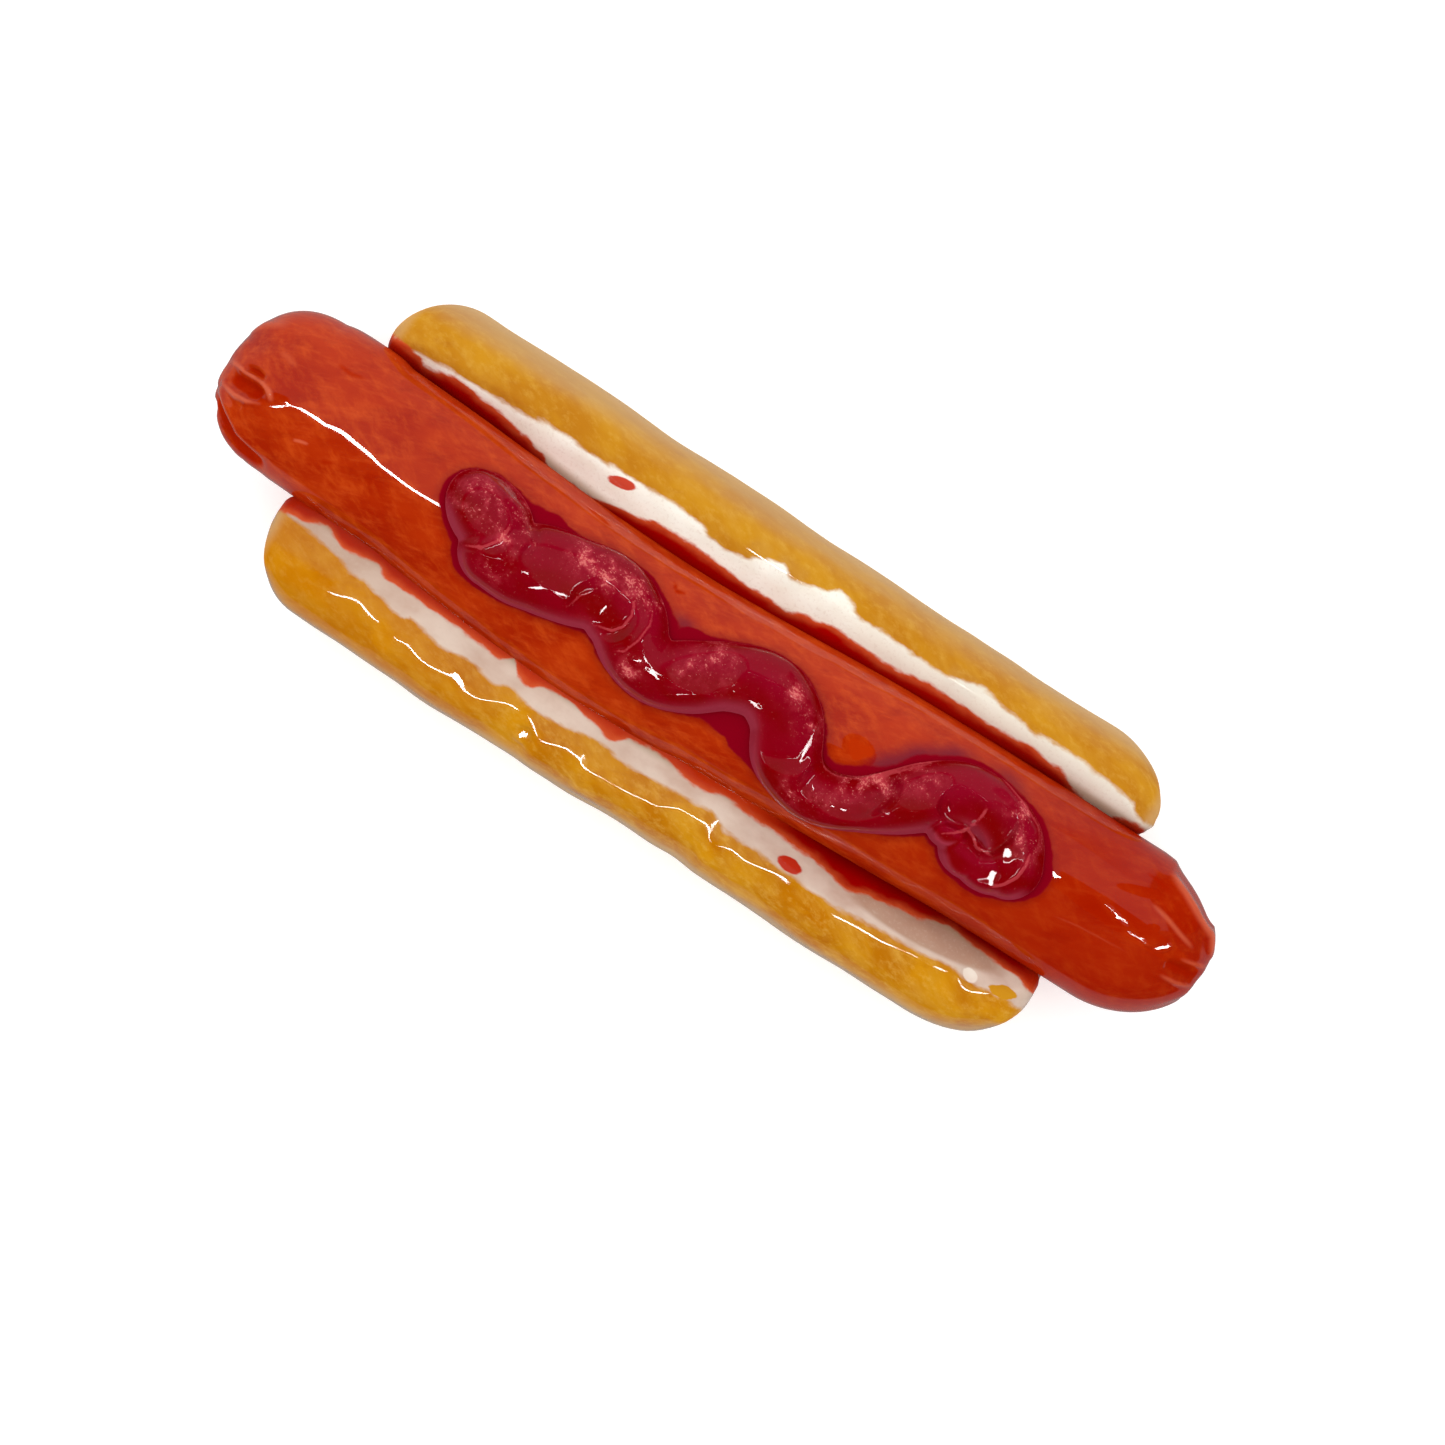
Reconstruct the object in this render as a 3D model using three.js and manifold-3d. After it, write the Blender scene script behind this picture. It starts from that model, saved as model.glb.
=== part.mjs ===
// A life-size hot dog modelled in clay and glazed: one thick roll of clay folded up into a split bun, a long sausage
// pressed into its groove, and a rope of ketchup laid along the sausage in waves.
//
// Millimetres. X runs along the sausage, Y across it and Z is up. The foot of the bun stands on Z = 0.

import * as THREE from 'three';
import { mergeVertices } from 'three/addons/utils/BufferGeometryUtils.js';
import Module from 'manifold-3d';

// ---- Driving dimensions ------------------------------------------------------------------------------------------

const jointGap = 0.3; // between a piece and the piece that it is bedded on

// Sausage
const sausageLength = 177.6; // over the rims of its pinched ends
const sausageRadius = 13.45;
const sausageCentreHeight = 21.5;
const bellyExtraRadius = 0.3; // the roll is a little fatter past its middle
const bellyPlace = 25;
const bellyReach = 35;
const endOffset = 1.45; // its ends lie this far to +Y, and its middle sags back towards -Y
const sagDepth = 2.8;
const sagPlace = -17;
const sagReach = { left: 34, right: 45 };

// The twisted ends of the sausage: where the pinch sits off the centreline, how deep its pit is, and the creases
// that run back from it. Angles are in degrees about the centreline, 0 towards +Y and 90 straight up.
const leftEnd = {
	side: -1,
	capLength: 13,
	squareness: 2.25,
	pinch: { y: -3.8, z: 0 },
	pitDepth: 2.2,
	creases: [
		{ angle: 55, depth: 0.8, length: 8 },
		{ angle: 96, depth: 1.9, length: 9 },
		{ angle: 148, depth: 2.0, length: 14 },
		{ angle: 200, depth: 1.3, length: 10 },
		{ angle: 262, depth: 1.7, length: 11 },
		{ angle: 325, depth: 1.4, length: 10 },
	],
};
const rightEnd = {
	side: 1,
	capLength: 16.5,
	squareness: 1.95,
	pinch: { y: 0.4, z: 0 },
	pitDepth: 1.8,
	creases: [
		{ angle: 28, depth: 1.4, length: 11 },
		{ angle: 66, depth: 1.1, length: 9 },
		{ angle: 104, depth: 1.8, length: 10 },
		{ angle: 152, depth: 1.2, length: 10 },
		{ angle: 225, depth: 1.6, length: 11 },
		{ angle: 290, depth: 1.5, length: 10 },
	],
};
const creaseSpread = 13; // degrees to each side of a crease's bottom
const pitShare = 0.45; // of the radius of an end is taken by its pit

// Bun
const bunLength = 142.2;
const bunHalfWidth = { back: [29.0, 27.9], front: [28.5, 28.5] }; // at -X and at +X
const frontSwell = { depth: 0.35, pitch: 78, place: -35 }; // slow swells along the front half
const widestHeight = 9;
const crestHeight = 25;
const crestOffset = { back: 19.3, front: 21.2 }; // of each half's highest line from the middle
const shoulderFullness = { back: 1.08, front: 1.3 }; // 1 is an ellipse, more is squarer
const footHalfWidth = 22.5;
const grooveTopAngle = -3; // the cut face meets the groove here, just below the sausage's widest line
const cutFaceBend = { back: { y: 17.8, z: 24 }, front: { y: 19, z: 24.7 } }; // where the cut face leaves its crest to
const cutFaceFollow = 3; // from this far in from its crest the cut face follows the sausage
const taperEnd = bunLength / 4; // the half widths change smoothly from the end at -X up to here

// The bun's ends are rounded over these lengths
const cornerRound = { leftBack: 11.5, leftFront: 9.5, rightBack: 13, rightFront: 16 };
const crestRound = 8;
const cutFaceRound = 3;
const footRound = 5;
const cornerReach = 0.6; // share of the shoulder over which the crest's rounding grows to the corner's
const cutFaceReach = 0.75; // share of the cut face over which the crest's rounding shrinks to its own
const coreDistance = 3.4; // the ends close onto a line this far outside the groove, at these angles about the sausage
const coreAngle = { crest: -8, widest: -25, footEdge: -50, foot: -70, middle: -90 };
const endOpening = 0.3; // share of the section that is left as the flat of an end
const endFullness = 0.75; // 1 rounds an end over as an ellipse, less is blunter

// Ketchup: a round dollop to begin with, then a waving rope, then small dollops where the rope hooks back and ends
const ketchupRise = 4.7; // of its top over the skin of the sausage
const ketchupSink = 0.6; // its widest line lies this far under the skin
const headDollop = { x: -40.6, y: 1.6, halfLength: 7.6, halfWidth: 5.8, heading: -18 };
const tailDollops = [
	{ x: 52.0, y: -2.3, halfLength: 5.5, halfWidth: 3.9, heading: 20 },
	{ x: 47.4, y: -2.6, halfLength: 4.5, halfWidth: 3.5, heading: -10 },
	{ x: 43.4, y: -0.9, halfLength: 3.4, halfWidth: 2.6, heading: 20 },
];
// The rope's route as x, y and half width
const ropeRoute = [
	[-37.6, -2.5, 5.5],
	[-33.7, -1.8, 6.1],
	[-30.0, -1.0, 6.7],
	[-25.0, 0.2, 6.7],
	[-19.7, 1.4, 6.4],
	[-15.1, -0.5, 6.1],
	[-11.4, -3.5, 5.5],
	[-7.1, -4.7, 5.2],
	[-2.3, -2.6, 5.5],
	[2.8, 0.7, 5.2],
	[8.4, 2.4, 5.5],
	[13.4, 0.0, 5.6],
	[16.6, -4.6, 5.6],
	[20.7, -6.9, 5.0],
	[25.1, -6.9, 4.6],
	[29.8, -4.9, 4.4],
	[34.3, -1.5, 5.0],
	[38.1, 1.8, 5.3],
	[42.7, 4.7, 5.3],
	[47.7, 4.9, 5.1],
	[52.0, 3.0, 4.9],
	[54.1, -0.3, 5.0],
];

// How finely the curved faces are divided
const sausageSides = 48;
const sausageBodyRings = 22;
const sausageCapRings = 9;
const shoulderSteps = 7;
const undersideSteps = 4;
const cutFaceSteps = 4;
const grooveSteps = 6;
const bunBodyRings = 28;
const bunEndRings = 6;
const ropeSides = 16;
const ropeRings = 52;
const ropeCapRings = 4;
const dollopSides = 20;
const dollopRings = 12;
const mergeDistance = 1e-4;

// ---- Shared shapes -----------------------------------------------------------------------------------------------

const radians = THREE.MathUtils.degToRad;
const lerp = THREE.MathUtils.lerp;

const outline = (ring) => ring.map((point) => new THREE.Vector2(point.y, point.z));

// A closed body from rings that follow each other and have equal numbers of points: bands between the rings and a cap
// on each end. Rings that run clockwise are turned round, so that the faces look outward.
function skinRings(givenRings) {
	const clockwise = THREE.ShapeUtils.isClockWise(outline(givenRings[0]));
	const rings = clockwise ? givenRings.map((ring) => ring.toReversed()) : givenRings;
	const sides = rings[0].length;
	const positions = rings.flat().flatMap((point) => [point.x, point.y, point.z]);
	const triangles = [];

	for (let ring = 0; ring < rings.length - 1; ring++) {
		for (let side = 0; side < sides; side++) {
			const next = (side + 1) % sides;
			const a = ring * sides + side;
			const b = ring * sides + next;
			const c = a + sides;
			const d = b + sides;
			triangles.push(a, b, c, b, d, c);
		}
	}

	const lastStart = (rings.length - 1) * sides;
	for (const [a, b, c] of THREE.ShapeUtils.triangulateShape(outline(rings[0]), [])) {
		triangles.push(c, b, a);
	}
	for (const [a, b, c] of THREE.ShapeUtils.triangulateShape(outline(rings.at(-1)), [])) {
		triangles.push(lastStart + a, lastStart + b, lastStart + c);
	}

	const geometry = new THREE.BufferGeometry();
	geometry.setAttribute('position', new THREE.Float32BufferAttribute(positions, 3));
	geometry.setIndex(triangles);
	return geometry;
}

// ---- Sausage -----------------------------------------------------------------------------------------------------

// The sausage's centreline: straight at its ends, with a shallow sag to -Y near the middle.
function centrelineY(x) {
	const reach = x < sagPlace ? sagReach.left : sagReach.right;
	return endOffset - sagDepth * Math.exp(-(((x - sagPlace) / reach) ** 2));
}

function bodyRadius(x) {
	return sausageRadius + bellyExtraRadius * Math.exp(-(((x - bellyPlace) / bellyReach) ** 2));
}

// How far the creases of an end draw the skin in, at an angle and at a distance back from the pinch.
function creaseDepth(end, angle, distance) {
	let depth = 0;
	for (const crease of end.creases) {
		const turn = THREE.MathUtils.euclideanModulo(angle - crease.angle + 180, 360) - 180;
		const across = Math.exp(-((turn / creaseSpread) ** 2));
		const along = Math.exp(-((distance / crease.length) ** 2));
		depth += crease.depth * across * along;
	}
	return depth;
}

// How far an end has curved back from its tip at an angle of roll.
function capDepth(end, roll) {
	return end.capLength * (1 - Math.cos(radians(roll)) ** (2 / end.squareness));
}

// The tip that an end would have without its pit: the length is measured over the rims of the pits.
function tipX(end) {
	const rimRoll = THREE.MathUtils.radToDeg(Math.asin(pitShare ** (end.squareness / 2)));
	return end.side * (sausageLength / 2 + capDepth(end, rimRoll));
}

// One ring of a pinched end, where roll runs from 0 at its tip to 90 where it meets the body.
function endRing(end, roll, grow) {
	const share = Math.sin(radians(roll)) ** (2 / end.squareness);
	const pit = end.pitDepth * Math.max(0, 1 - (share / pitShare) ** 2) ** 2;
	const x = tipX(end) + end.side * (grow - capDepth(end, roll) - pit);
	const distance = radians(roll) * sausageRadius;
	const pull = (1 - share) ** 2;

	const ring = [];
	for (let side = 0; side < sausageSides; side++) {
		const angle = (360 * side) / sausageSides;
		const radius = share * (bodyRadius(x) + grow - creaseDepth(end, angle, distance));
		const y = centrelineY(x) + end.pinch.y * pull + radius * Math.cos(radians(angle));
		const z = sausageCentreHeight + end.pinch.z * pull + radius * Math.sin(radians(angle));
		ring.push(new THREE.Vector3(x, y, z));
	}
	return ring;
}

// The sausage, or with grow a larger copy of it that cuts the room for it out of its neighbours.
function sausageGeometry(grow = 0) {
	const rolls = [];
	for (let step = 1; step <= sausageCapRings; step++) {
		rolls.push((90 * step) / sausageCapRings);
	}

	const rings = rolls.map((roll) => endRing(leftEnd, roll, grow));
	const bodyStart = tipX(leftEnd) + leftEnd.capLength;
	const bodyEnd = tipX(rightEnd) - rightEnd.capLength;
	for (let step = 1; step < sausageBodyRings; step++) {
		const x = lerp(bodyStart, bodyEnd, step / sausageBodyRings);
		const ring = [];
		for (let side = 0; side < sausageSides; side++) {
			const angle = radians((360 * side) / sausageSides);
			const radius = bodyRadius(x) + grow;
			const y = centrelineY(x) + radius * Math.cos(angle);
			ring.push(new THREE.Vector3(x, y, sausageCentreHeight + radius * Math.sin(angle)));
		}
		rings.push(ring);
	}
	rings.push(...rolls.reverse().map((roll) => endRing(rightEnd, roll, grow)));
	return skinRings(rings);
}

// ---- Bun ---------------------------------------------------------------------------------------------------------

// Half of the bun's section, from its crest. A point outside has an offset from the bun's middle line, plus its share
// across of the way on to the widest line. A point inside has an offset too, or its angle in the groove, and follows
// the sausage. core is the angle about the sausage at which the point closes when the end rounds over. The rounding
// is round long, or that of the bun's corner, by the share corner.
function halfSection(half) {
	const outside = [];
	for (let step = 0; step <= shoulderSteps; step++) {
		const share = step / shoulderSteps;
		const angle = radians(90 * share);
		const across = Math.sin(angle) ** (1 / shoulderFullness[half]);
		const up = Math.cos(angle) ** (1 / shoulderFullness[half]);
		outside.push({
			across,
			offset: crestOffset[half],
			z: lerp(widestHeight, crestHeight, up),
			core: lerp(coreAngle.crest, coreAngle.widest, share),
			round: crestRound,
			corner: Math.min(1, share / cornerReach),
		});
	}
	for (let step = 1; step <= undersideSteps; step++) {
		const share = step / undersideSteps;
		const angle = radians(90 * share);
		outside.push({
			across: Math.cos(angle),
			offset: footHalfWidth,
			z: widestHeight * (1 - Math.sin(angle)),
			core: lerp(coreAngle.widest, coreAngle.footEdge, share),
			round: footRound,
			corner: 1 - share,
		});
	}
	outside.push({ across: 0, offset: footHalfWidth / 2, z: 0, core: coreAngle.foot, round: footRound, corner: 0 });

	const inside = [];
	const face = new THREE.QuadraticBezierCurve(
		new THREE.Vector2(crestOffset[half], crestHeight),
		new THREE.Vector2(cutFaceBend[half].y, cutFaceBend[half].z),
		grooveEdge(),
	);
	for (let step = 1; step <= cutFaceSteps; step++) {
		const share = step / cutFaceSteps;
		const point = face.getPoint(share);
		const round = lerp(crestRound, cutFaceRound, Math.min(1, share / cutFaceReach));
		inside.push({ offset: point.x, z: point.y, core: coreAngle.crest, round, corner: 0, inside: true });
	}
	for (let step = 1; step < grooveSteps; step++) {
		const angle = lerp(grooveTopAngle, -90, step / grooveSteps);
		inside.push({ groove: angle, core: angle, round: cutFaceRound, corner: 0, inside: true });
	}
	return { outside, inside };
}

// Where the cut face meets the groove
function grooveEdge() {
	const radius = sausageRadius + jointGap;
	const angle = radians(grooveTopAngle);
	return new THREE.Vector2(radius * Math.cos(angle), sausageCentreHeight + radius * Math.sin(angle));
}

function halfWidthAt(x, side) {
	const [left, right] = side > 0 ? bunHalfWidth.back : bunHalfWidth.front;
	const taper = lerp(left, right, THREE.MathUtils.smoothstep(x, -bunLength / 2, taperEnd));
	const swell = Math.cos((2 * Math.PI * (x - frontSwell.place)) / frontSwell.pitch);
	return taper + (side > 0 ? 0 : frontSwell.depth * swell);
}

// A point of the section at a place along the bun, drawn in onto the core where open is under 1.
function bunPoint(point, side, x, open) {
	const middle = centrelineY(x);
	const coreRadius = sausageRadius + coreDistance;
	const coreY = middle + side * coreRadius * Math.cos(radians(point.core));
	const coreZ = sausageCentreHeight + coreRadius * Math.sin(radians(point.core));

	let y = side * point.offset;
	let z = point.z;
	if (point.groove !== undefined) {
		const radius = bodyRadius(x) + jointGap;
		y = middle + side * radius * Math.cos(radians(point.groove));
		z = sausageCentreHeight + radius * Math.sin(radians(point.groove));
	} else if (point.inside) {
		const crest = crestOffset[side > 0 ? 'back' : 'front'];
		const follow = THREE.MathUtils.clamp((crest - point.offset) / cutFaceFollow, 0, 1);
		y += follow * (middle + side * (bodyRadius(x) - sausageRadius));
	} else {
		y += side * point.across * (halfWidthAt(x, side) - point.offset);
	}
	return new THREE.Vector3(x, lerp(coreY, y, open), lerp(coreZ, z, open));
}

function bunGeometry() {
	const back = halfSection('back');
	const front = halfSection('front');
	const floor = { offset: 0, across: 0, z: 0, core: coreAngle.middle, round: footRound, corner: 0 };
	const bed = { groove: -90, core: coreAngle.middle, round: cutFaceRound, corner: 0, inside: true };
	const section = [
		...back.outside.map((point) => [point, 1]),
		[floor, 1],
		...front.outside.toReversed().map((point) => [point, -1]),
		...front.inside.map((point) => [point, -1]),
		[bed, 1],
		...back.inside.toReversed().map((point) => [point, 1]),
	];

	const roundAt = (point, side, end) => {
		const corner = `${end < 0 ? 'left' : 'right'}${side < 0 ? 'Front' : 'Back'}`;
		return lerp(point.round, cornerRound[corner], point.corner);
	};
	const ringAt = (end, roll) => section.map(([point, side]) => {
		const x = end * (bunLength / 2 - roundAt(point, side, end) * (1 - Math.cos(radians(roll))));
		return bunPoint(point, side, x, Math.sin(radians(roll)) ** endFullness);
	});

	const firstRoll = THREE.MathUtils.radToDeg(Math.asin(endOpening ** (1 / endFullness)));
	const rolls = [];
	for (let step = 0; step <= bunEndRings; step++) {
		rolls.push(lerp(firstRoll, 90, step / bunEndRings));
	}

	const rings = rolls.map((roll) => ringAt(-1, roll));
	for (let step = 1; step < bunBodyRings; step++) {
		rings.push(section.map(([point, side]) => {
			const start = -bunLength / 2 + roundAt(point, side, -1);
			const stop = bunLength / 2 - roundAt(point, side, 1);
			return bunPoint(point, side, lerp(start, stop, step / bunBodyRings), 1);
		}));
	}
	rings.push(...rolls.reverse().map((roll) => ringAt(1, roll)));
	return skinRings(rings);
}

// ---- Ketchup -----------------------------------------------------------------------------------------------------

const wasm = await Module();
wasm.setup();

function toSolid(geometry) {
	const bare = geometry.clone();
	bare.deleteAttribute('normal');
	bare.deleteAttribute('uv');
	const merged = mergeVertices(bare, mergeDistance);
	return new wasm.Manifold(new wasm.Mesh({
		numProp: 3,
		vertProperties: Float32Array.from(merged.attributes.position.array),
		triVerts: Uint32Array.from(merged.index.array),
	}));
}

function toGeometry(solid) {
	const mesh = solid.getMesh();
	const geometry = new THREE.BufferGeometry();
	geometry.setAttribute('position', new THREE.Float32BufferAttribute(mesh.vertProperties, 3));
	geometry.setIndex(Array.from(mesh.triVerts));
	return geometry;
}

// The place on the sausage's skin over x, y, with the way out of the skin there.
function skinPlace(x, y) {
	const lean = Math.asin((y - centrelineY(x)) / bodyRadius(x));
	const out = new THREE.Vector3(0, Math.sin(lean), Math.cos(lean));
	const centre = new THREE.Vector3(x, centrelineY(x), sausageCentreHeight);
	return { out, lean, point: centre.addScaledVector(out, bodyRadius(x) - ketchupSink) };
}

// An ellipsoid that leans out with the skin under it.
function dollopSolid({ x, y, halfLength, halfWidth, heading }) {
	const { lean, point } = skinPlace(x, y);
	const placing = new THREE.Matrix4().makeTranslation(point);
	placing.multiply(new THREE.Matrix4().makeRotationX(-lean));
	placing.multiply(new THREE.Matrix4().makeRotationZ(radians(heading)));
	placing.scale(new THREE.Vector3(halfLength, halfWidth, ketchupRise + ketchupSink));
	const ball = new THREE.SphereGeometry(1, dollopSides, dollopRings).rotateX(Math.PI / 2);
	return toSolid(ball.applyMatrix4(placing));
}

// The rope's rings stand across its route, with rounded ends half a width long.
function ropeSolid() {
	const places = ropeRoute.map(([x, y]) => new THREE.Vector3(x, y, 0));
	const route = new THREE.CatmullRomCurve3(places, false, 'centripetal');
	const widths = new THREE.CatmullRomCurve3(ropeRoute.map(([, , width], index) => new THREE.Vector3(index, width, 0)));

	const ringAt = (along, share, beyond) => {
		const flat = route.getPoint(along);
		const ahead = route.getTangent(along);
		const halfWidth = widths.getPoint(along).y;
		const { out, point } = skinPlace(flat.x + ahead.x * beyond * halfWidth, flat.y + ahead.y * beyond * halfWidth);
		const across = new THREE.Vector3().crossVectors(out, ahead).normalize();
		const ring = [];
		for (let side = 0; side < ropeSides; side++) {
			const angle = (2 * Math.PI * side) / ropeSides;
			const spot = point.clone().addScaledVector(across, share * halfWidth * Math.cos(angle));
			ring.push(spot.addScaledVector(out, share * (ketchupRise + ketchupSink) * Math.sin(angle)));
		}
		return ring;
	};

	const rings = [];
	for (let step = 1; step < ropeCapRings; step++) {
		const roll = (Math.PI / 2) * (step / ropeCapRings);
		rings.push(ringAt(0, Math.sin(roll), -Math.cos(roll)));
	}
	for (let step = 0; step <= ropeRings; step++) {
		rings.push(ringAt(step / ropeRings, 1, 0));
	}
	for (let step = ropeCapRings - 1; step > 0; step--) {
		const roll = (Math.PI / 2) * (step / ropeCapRings);
		rings.push(ringAt(1, Math.sin(roll), Math.cos(roll)));
	}
	return toSolid(skinRings(rings));
}

function ketchupGeometry() {
	let ketchup = dollopSolid(headDollop).add(ropeSolid());
	for (const dollop of tailDollops) {
		ketchup = ketchup.add(dollopSolid(dollop));
	}
	return toGeometry(ketchup.subtract(toSolid(sausageGeometry(jointGap))));
}

// ---- The hot dog -------------------------------------------------------------------------------------------------

function piece(name, geometry, color) {
	const material = new THREE.MeshStandardMaterial({ color, roughness: 0.08, metalness: 0 });
	const mesh = new THREE.Mesh(geometry, material);
	mesh.name = name;
	return mesh;
}

const hotDog = new THREE.Group();
hotDog.add(piece('bun', bunGeometry(), '#cf9228'));
hotDog.add(piece('sausage', sausageGeometry(), '#be3e22'));
hotDog.add(piece('ketchup', ketchupGeometry(), '#8e0a24'));

export default hotDog;
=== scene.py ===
"""A life-size glazed clay hot dog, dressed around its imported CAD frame: sausage, bun and ketchup, then floor,
lights and camera. Metres, with X along the sausage, Z up and the foot of the bun on Z = 0."""

import math

import bmesh
import bpy
from mathutils import Matrix, Vector, noise
from mathutils.bvhtree import BVHTree


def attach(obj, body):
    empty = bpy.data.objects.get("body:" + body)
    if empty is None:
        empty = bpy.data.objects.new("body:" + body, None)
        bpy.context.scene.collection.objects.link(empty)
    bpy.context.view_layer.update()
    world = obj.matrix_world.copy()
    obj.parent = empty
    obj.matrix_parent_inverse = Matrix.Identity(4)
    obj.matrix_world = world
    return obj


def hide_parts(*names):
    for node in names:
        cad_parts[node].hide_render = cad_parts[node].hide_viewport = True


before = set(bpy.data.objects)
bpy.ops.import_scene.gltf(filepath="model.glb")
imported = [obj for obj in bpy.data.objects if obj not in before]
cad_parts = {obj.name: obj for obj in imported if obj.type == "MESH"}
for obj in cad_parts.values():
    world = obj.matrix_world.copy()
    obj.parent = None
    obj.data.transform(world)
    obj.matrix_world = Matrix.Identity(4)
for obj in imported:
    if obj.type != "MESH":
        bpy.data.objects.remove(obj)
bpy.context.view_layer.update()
mm = 0.001


# ---- Sausage ---------------------------------------------------------------------------------------------
# A roll of clay as thick as a jumbo frankfurter, which sagged a little to one side as it was laid down. Both
# ends were pinched shut, which left a pit with folds running back from it. It is brushed orange red, then
# dipped in clear glaze.


sausage_length = 177.6 * mm
sausage_radius = 13.45 * mm
sausage_height = 21.5 * mm
belly = {"extra": 0.3 * mm, "place": 25 * mm, "reach": 35 * mm}
end_offset = 1.45 * mm
sag = {"depth": 2.8 * mm, "place": -17 * mm, "left": 34 * mm, "right": 45 * mm}
pit_share = 0.45
crease_spread = 13

# angle in degrees (0 towards +Y, 90 up), depth and length in millimetres of each crease
left_end = {
    "side": -1, "cap": 13 * mm, "squareness": 2.25, "pinch": -3.8 * mm, "pit": 2.2 * mm,
    "creases": [(55, 0.8, 8), (96, 1.9, 9), (148, 2.0, 14), (200, 1.3, 10), (262, 1.7, 11), (325, 1.4, 10)],
}
right_end = {
    "side": 1, "cap": 16.5 * mm, "squareness": 1.95, "pinch": 0.4 * mm, "pit": 1.8 * mm,
    "creases": [(28, 1.4, 11), (66, 1.1, 9), (104, 1.8, 10), (152, 1.2, 10), (225, 1.6, 11), (290, 1.5, 10)],
}
left_cap_rings = 0.18
right_cap_rings = 0.21
top_crowding = 0.7


def bump(distance, reach):
    """A smooth hump of height 1 that dies away over about twice its reach."""
    return math.exp(-((distance / reach) ** 2))


def lerp(a, b, share):
    return a + (b - a) * share


def ease(value, low, high):
    share = max(0, min(1, (value - low) / (high - low)))
    return share * share * (3 - 2 * share)


def centreline(x):
    reach = sag["left"] if x < sag["place"] else sag["right"]
    return end_offset - sag["depth"] * bump(x - sag["place"], reach)


def body_radius(x):
    return sausage_radius + belly["extra"] * bump(x - belly["place"], belly["reach"])


def cap_depth(end, roll):
    return end["cap"] * (1 - max(0, math.cos(roll)) ** (2 / end["squareness"]))


def tip_x(end):
    rim = math.asin(pit_share ** (end["squareness"] / 2))
    return end["side"] * (sausage_length / 2 + cap_depth(end, rim))


def crease_depth(end, angle, distance):
    depth = 0
    for crease_angle, crease_mm, length_mm in end["creases"]:
        turn = (angle - crease_angle + 180) % 360 - 180
        depth += crease_mm * mm * bump(turn, crease_spread) * bump(distance, length_mm * mm)
    return depth


def end_point(end, roll, angle):
    """A point of a pinched end: roll runs from 0 at the tip to a right angle where the end meets the body."""
    share = math.sin(roll) ** (2 / end["squareness"])
    pit = end["pit"] * max(0, 1 - (share / pit_share) ** 2) ** 2
    x = tip_x(end) - end["side"] * (cap_depth(end, roll) + pit)
    radius = share * (body_radius(x) - crease_depth(end, angle, roll * sausage_radius))
    turn = math.radians(angle)
    y = centreline(x) + end["pinch"] * (1 - share) ** 2 + radius * math.cos(turn)
    return Vector((x, y, sausage_height + radius * math.sin(turn)))


def sausage_point(along, turn):
    """A point of the skin, from along = 0 at the left tip to 1 at the right one, and turn = 0 on top."""
    angle = 90 + 180 * (top_crowding * turn + (1 - top_crowding) * turn ** 3)
    start = tip_x(left_end) + left_end["cap"]
    stop = tip_x(right_end) - right_end["cap"]
    if along < left_cap_rings:
        return end_point(left_end, math.pi / 2 * along / left_cap_rings, angle)
    if along > 1 - right_cap_rings:
        return end_point(right_end, math.pi / 2 * (1 - along) / right_cap_rings, angle)
    x = lerp(start, stop, (along - left_cap_rings) / (1 - left_cap_rings - right_cap_rings))
    radius = body_radius(x)
    turn = math.radians(angle)
    return Vector((x, centreline(x) + radius * math.cos(turn), sausage_height + radius * math.sin(turn)))


def rolled_form(bm, sides, rings, place):
    """A ball whose rings are moved to place(along, turn), so that it is closed at both ends."""
    bmesh.ops.create_uvsphere(bm, u_segments=sides, v_segments=rings, radius=1)
    for vert in bm.verts:
        along = 0.5 + math.asin(max(-1, min(1, vert.co.z))) / math.pi
        vert.co = place(along, math.atan2(vert.co.y, vert.co.x) / math.pi)
    bmesh.ops.recalc_face_normals(bm, faces=bm.faces)


def skin_noise(place, waves, seed):
    """Smooth noise made of waves of (size, depth, stretch along X)."""
    depth = 0
    for size, height, stretch in waves:
        spot = Vector((place.x / stretch, place.y, place.z)) / size
        depth += height * noise.noise(spot + Vector((seed, seed, seed)))
    return depth


def stroke_lift(place, strokes):
    """How far folds and strokes lift the skin at a place, seen from above. They fade out at both ends."""
    lift = 0
    x, y = place.x / mm, place.y / mm
    for height, width, route in strokes:
        nearest, share = 1e9, 0
        for index, ((x0, y0), (x1, y1)) in enumerate(zip(route, route[1:])):
            run = (x1 - x0) ** 2 + (y1 - y0) ** 2
            part = max(0, min(1, ((x - x0) * (x1 - x0) + (y - y0) * (y1 - y0)) / run))
            away = math.hypot(x - lerp(x0, x1, part), y - lerp(y0, y1, part))
            if away < nearest:
                nearest, share = away, (index + part) / (len(route) - 1)
        if nearest < 3 * width:
            lift += height * mm * bump(nearest, width) * (1 - (2 * share - 1) ** 4)
    return lift


def add_mesh(bm, name):
    mesh = bpy.data.meshes.new(name)
    bm.to_mesh(mesh)
    bm.free()
    thing = bpy.data.objects.new(name, mesh)
    bpy.context.scene.collection.objects.link(thing)
    return thing


def add_piece(bm, name, node, material):
    piece = add_mesh(bm, name)
    piece.data.shade_smooth()
    piece.data.materials.append(material)
    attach(piece, "root")
    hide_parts(node)
    return piece


def add_fields(piece, rows):
    """Writes a row of named values on each point of a piece, for its paint to read."""
    for name in rows[0]:
        field = piece.data.attributes.new(name, "FLOAT", "POINT")
        field.data.foreach_set("value", [row[name] for row in rows])


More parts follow.
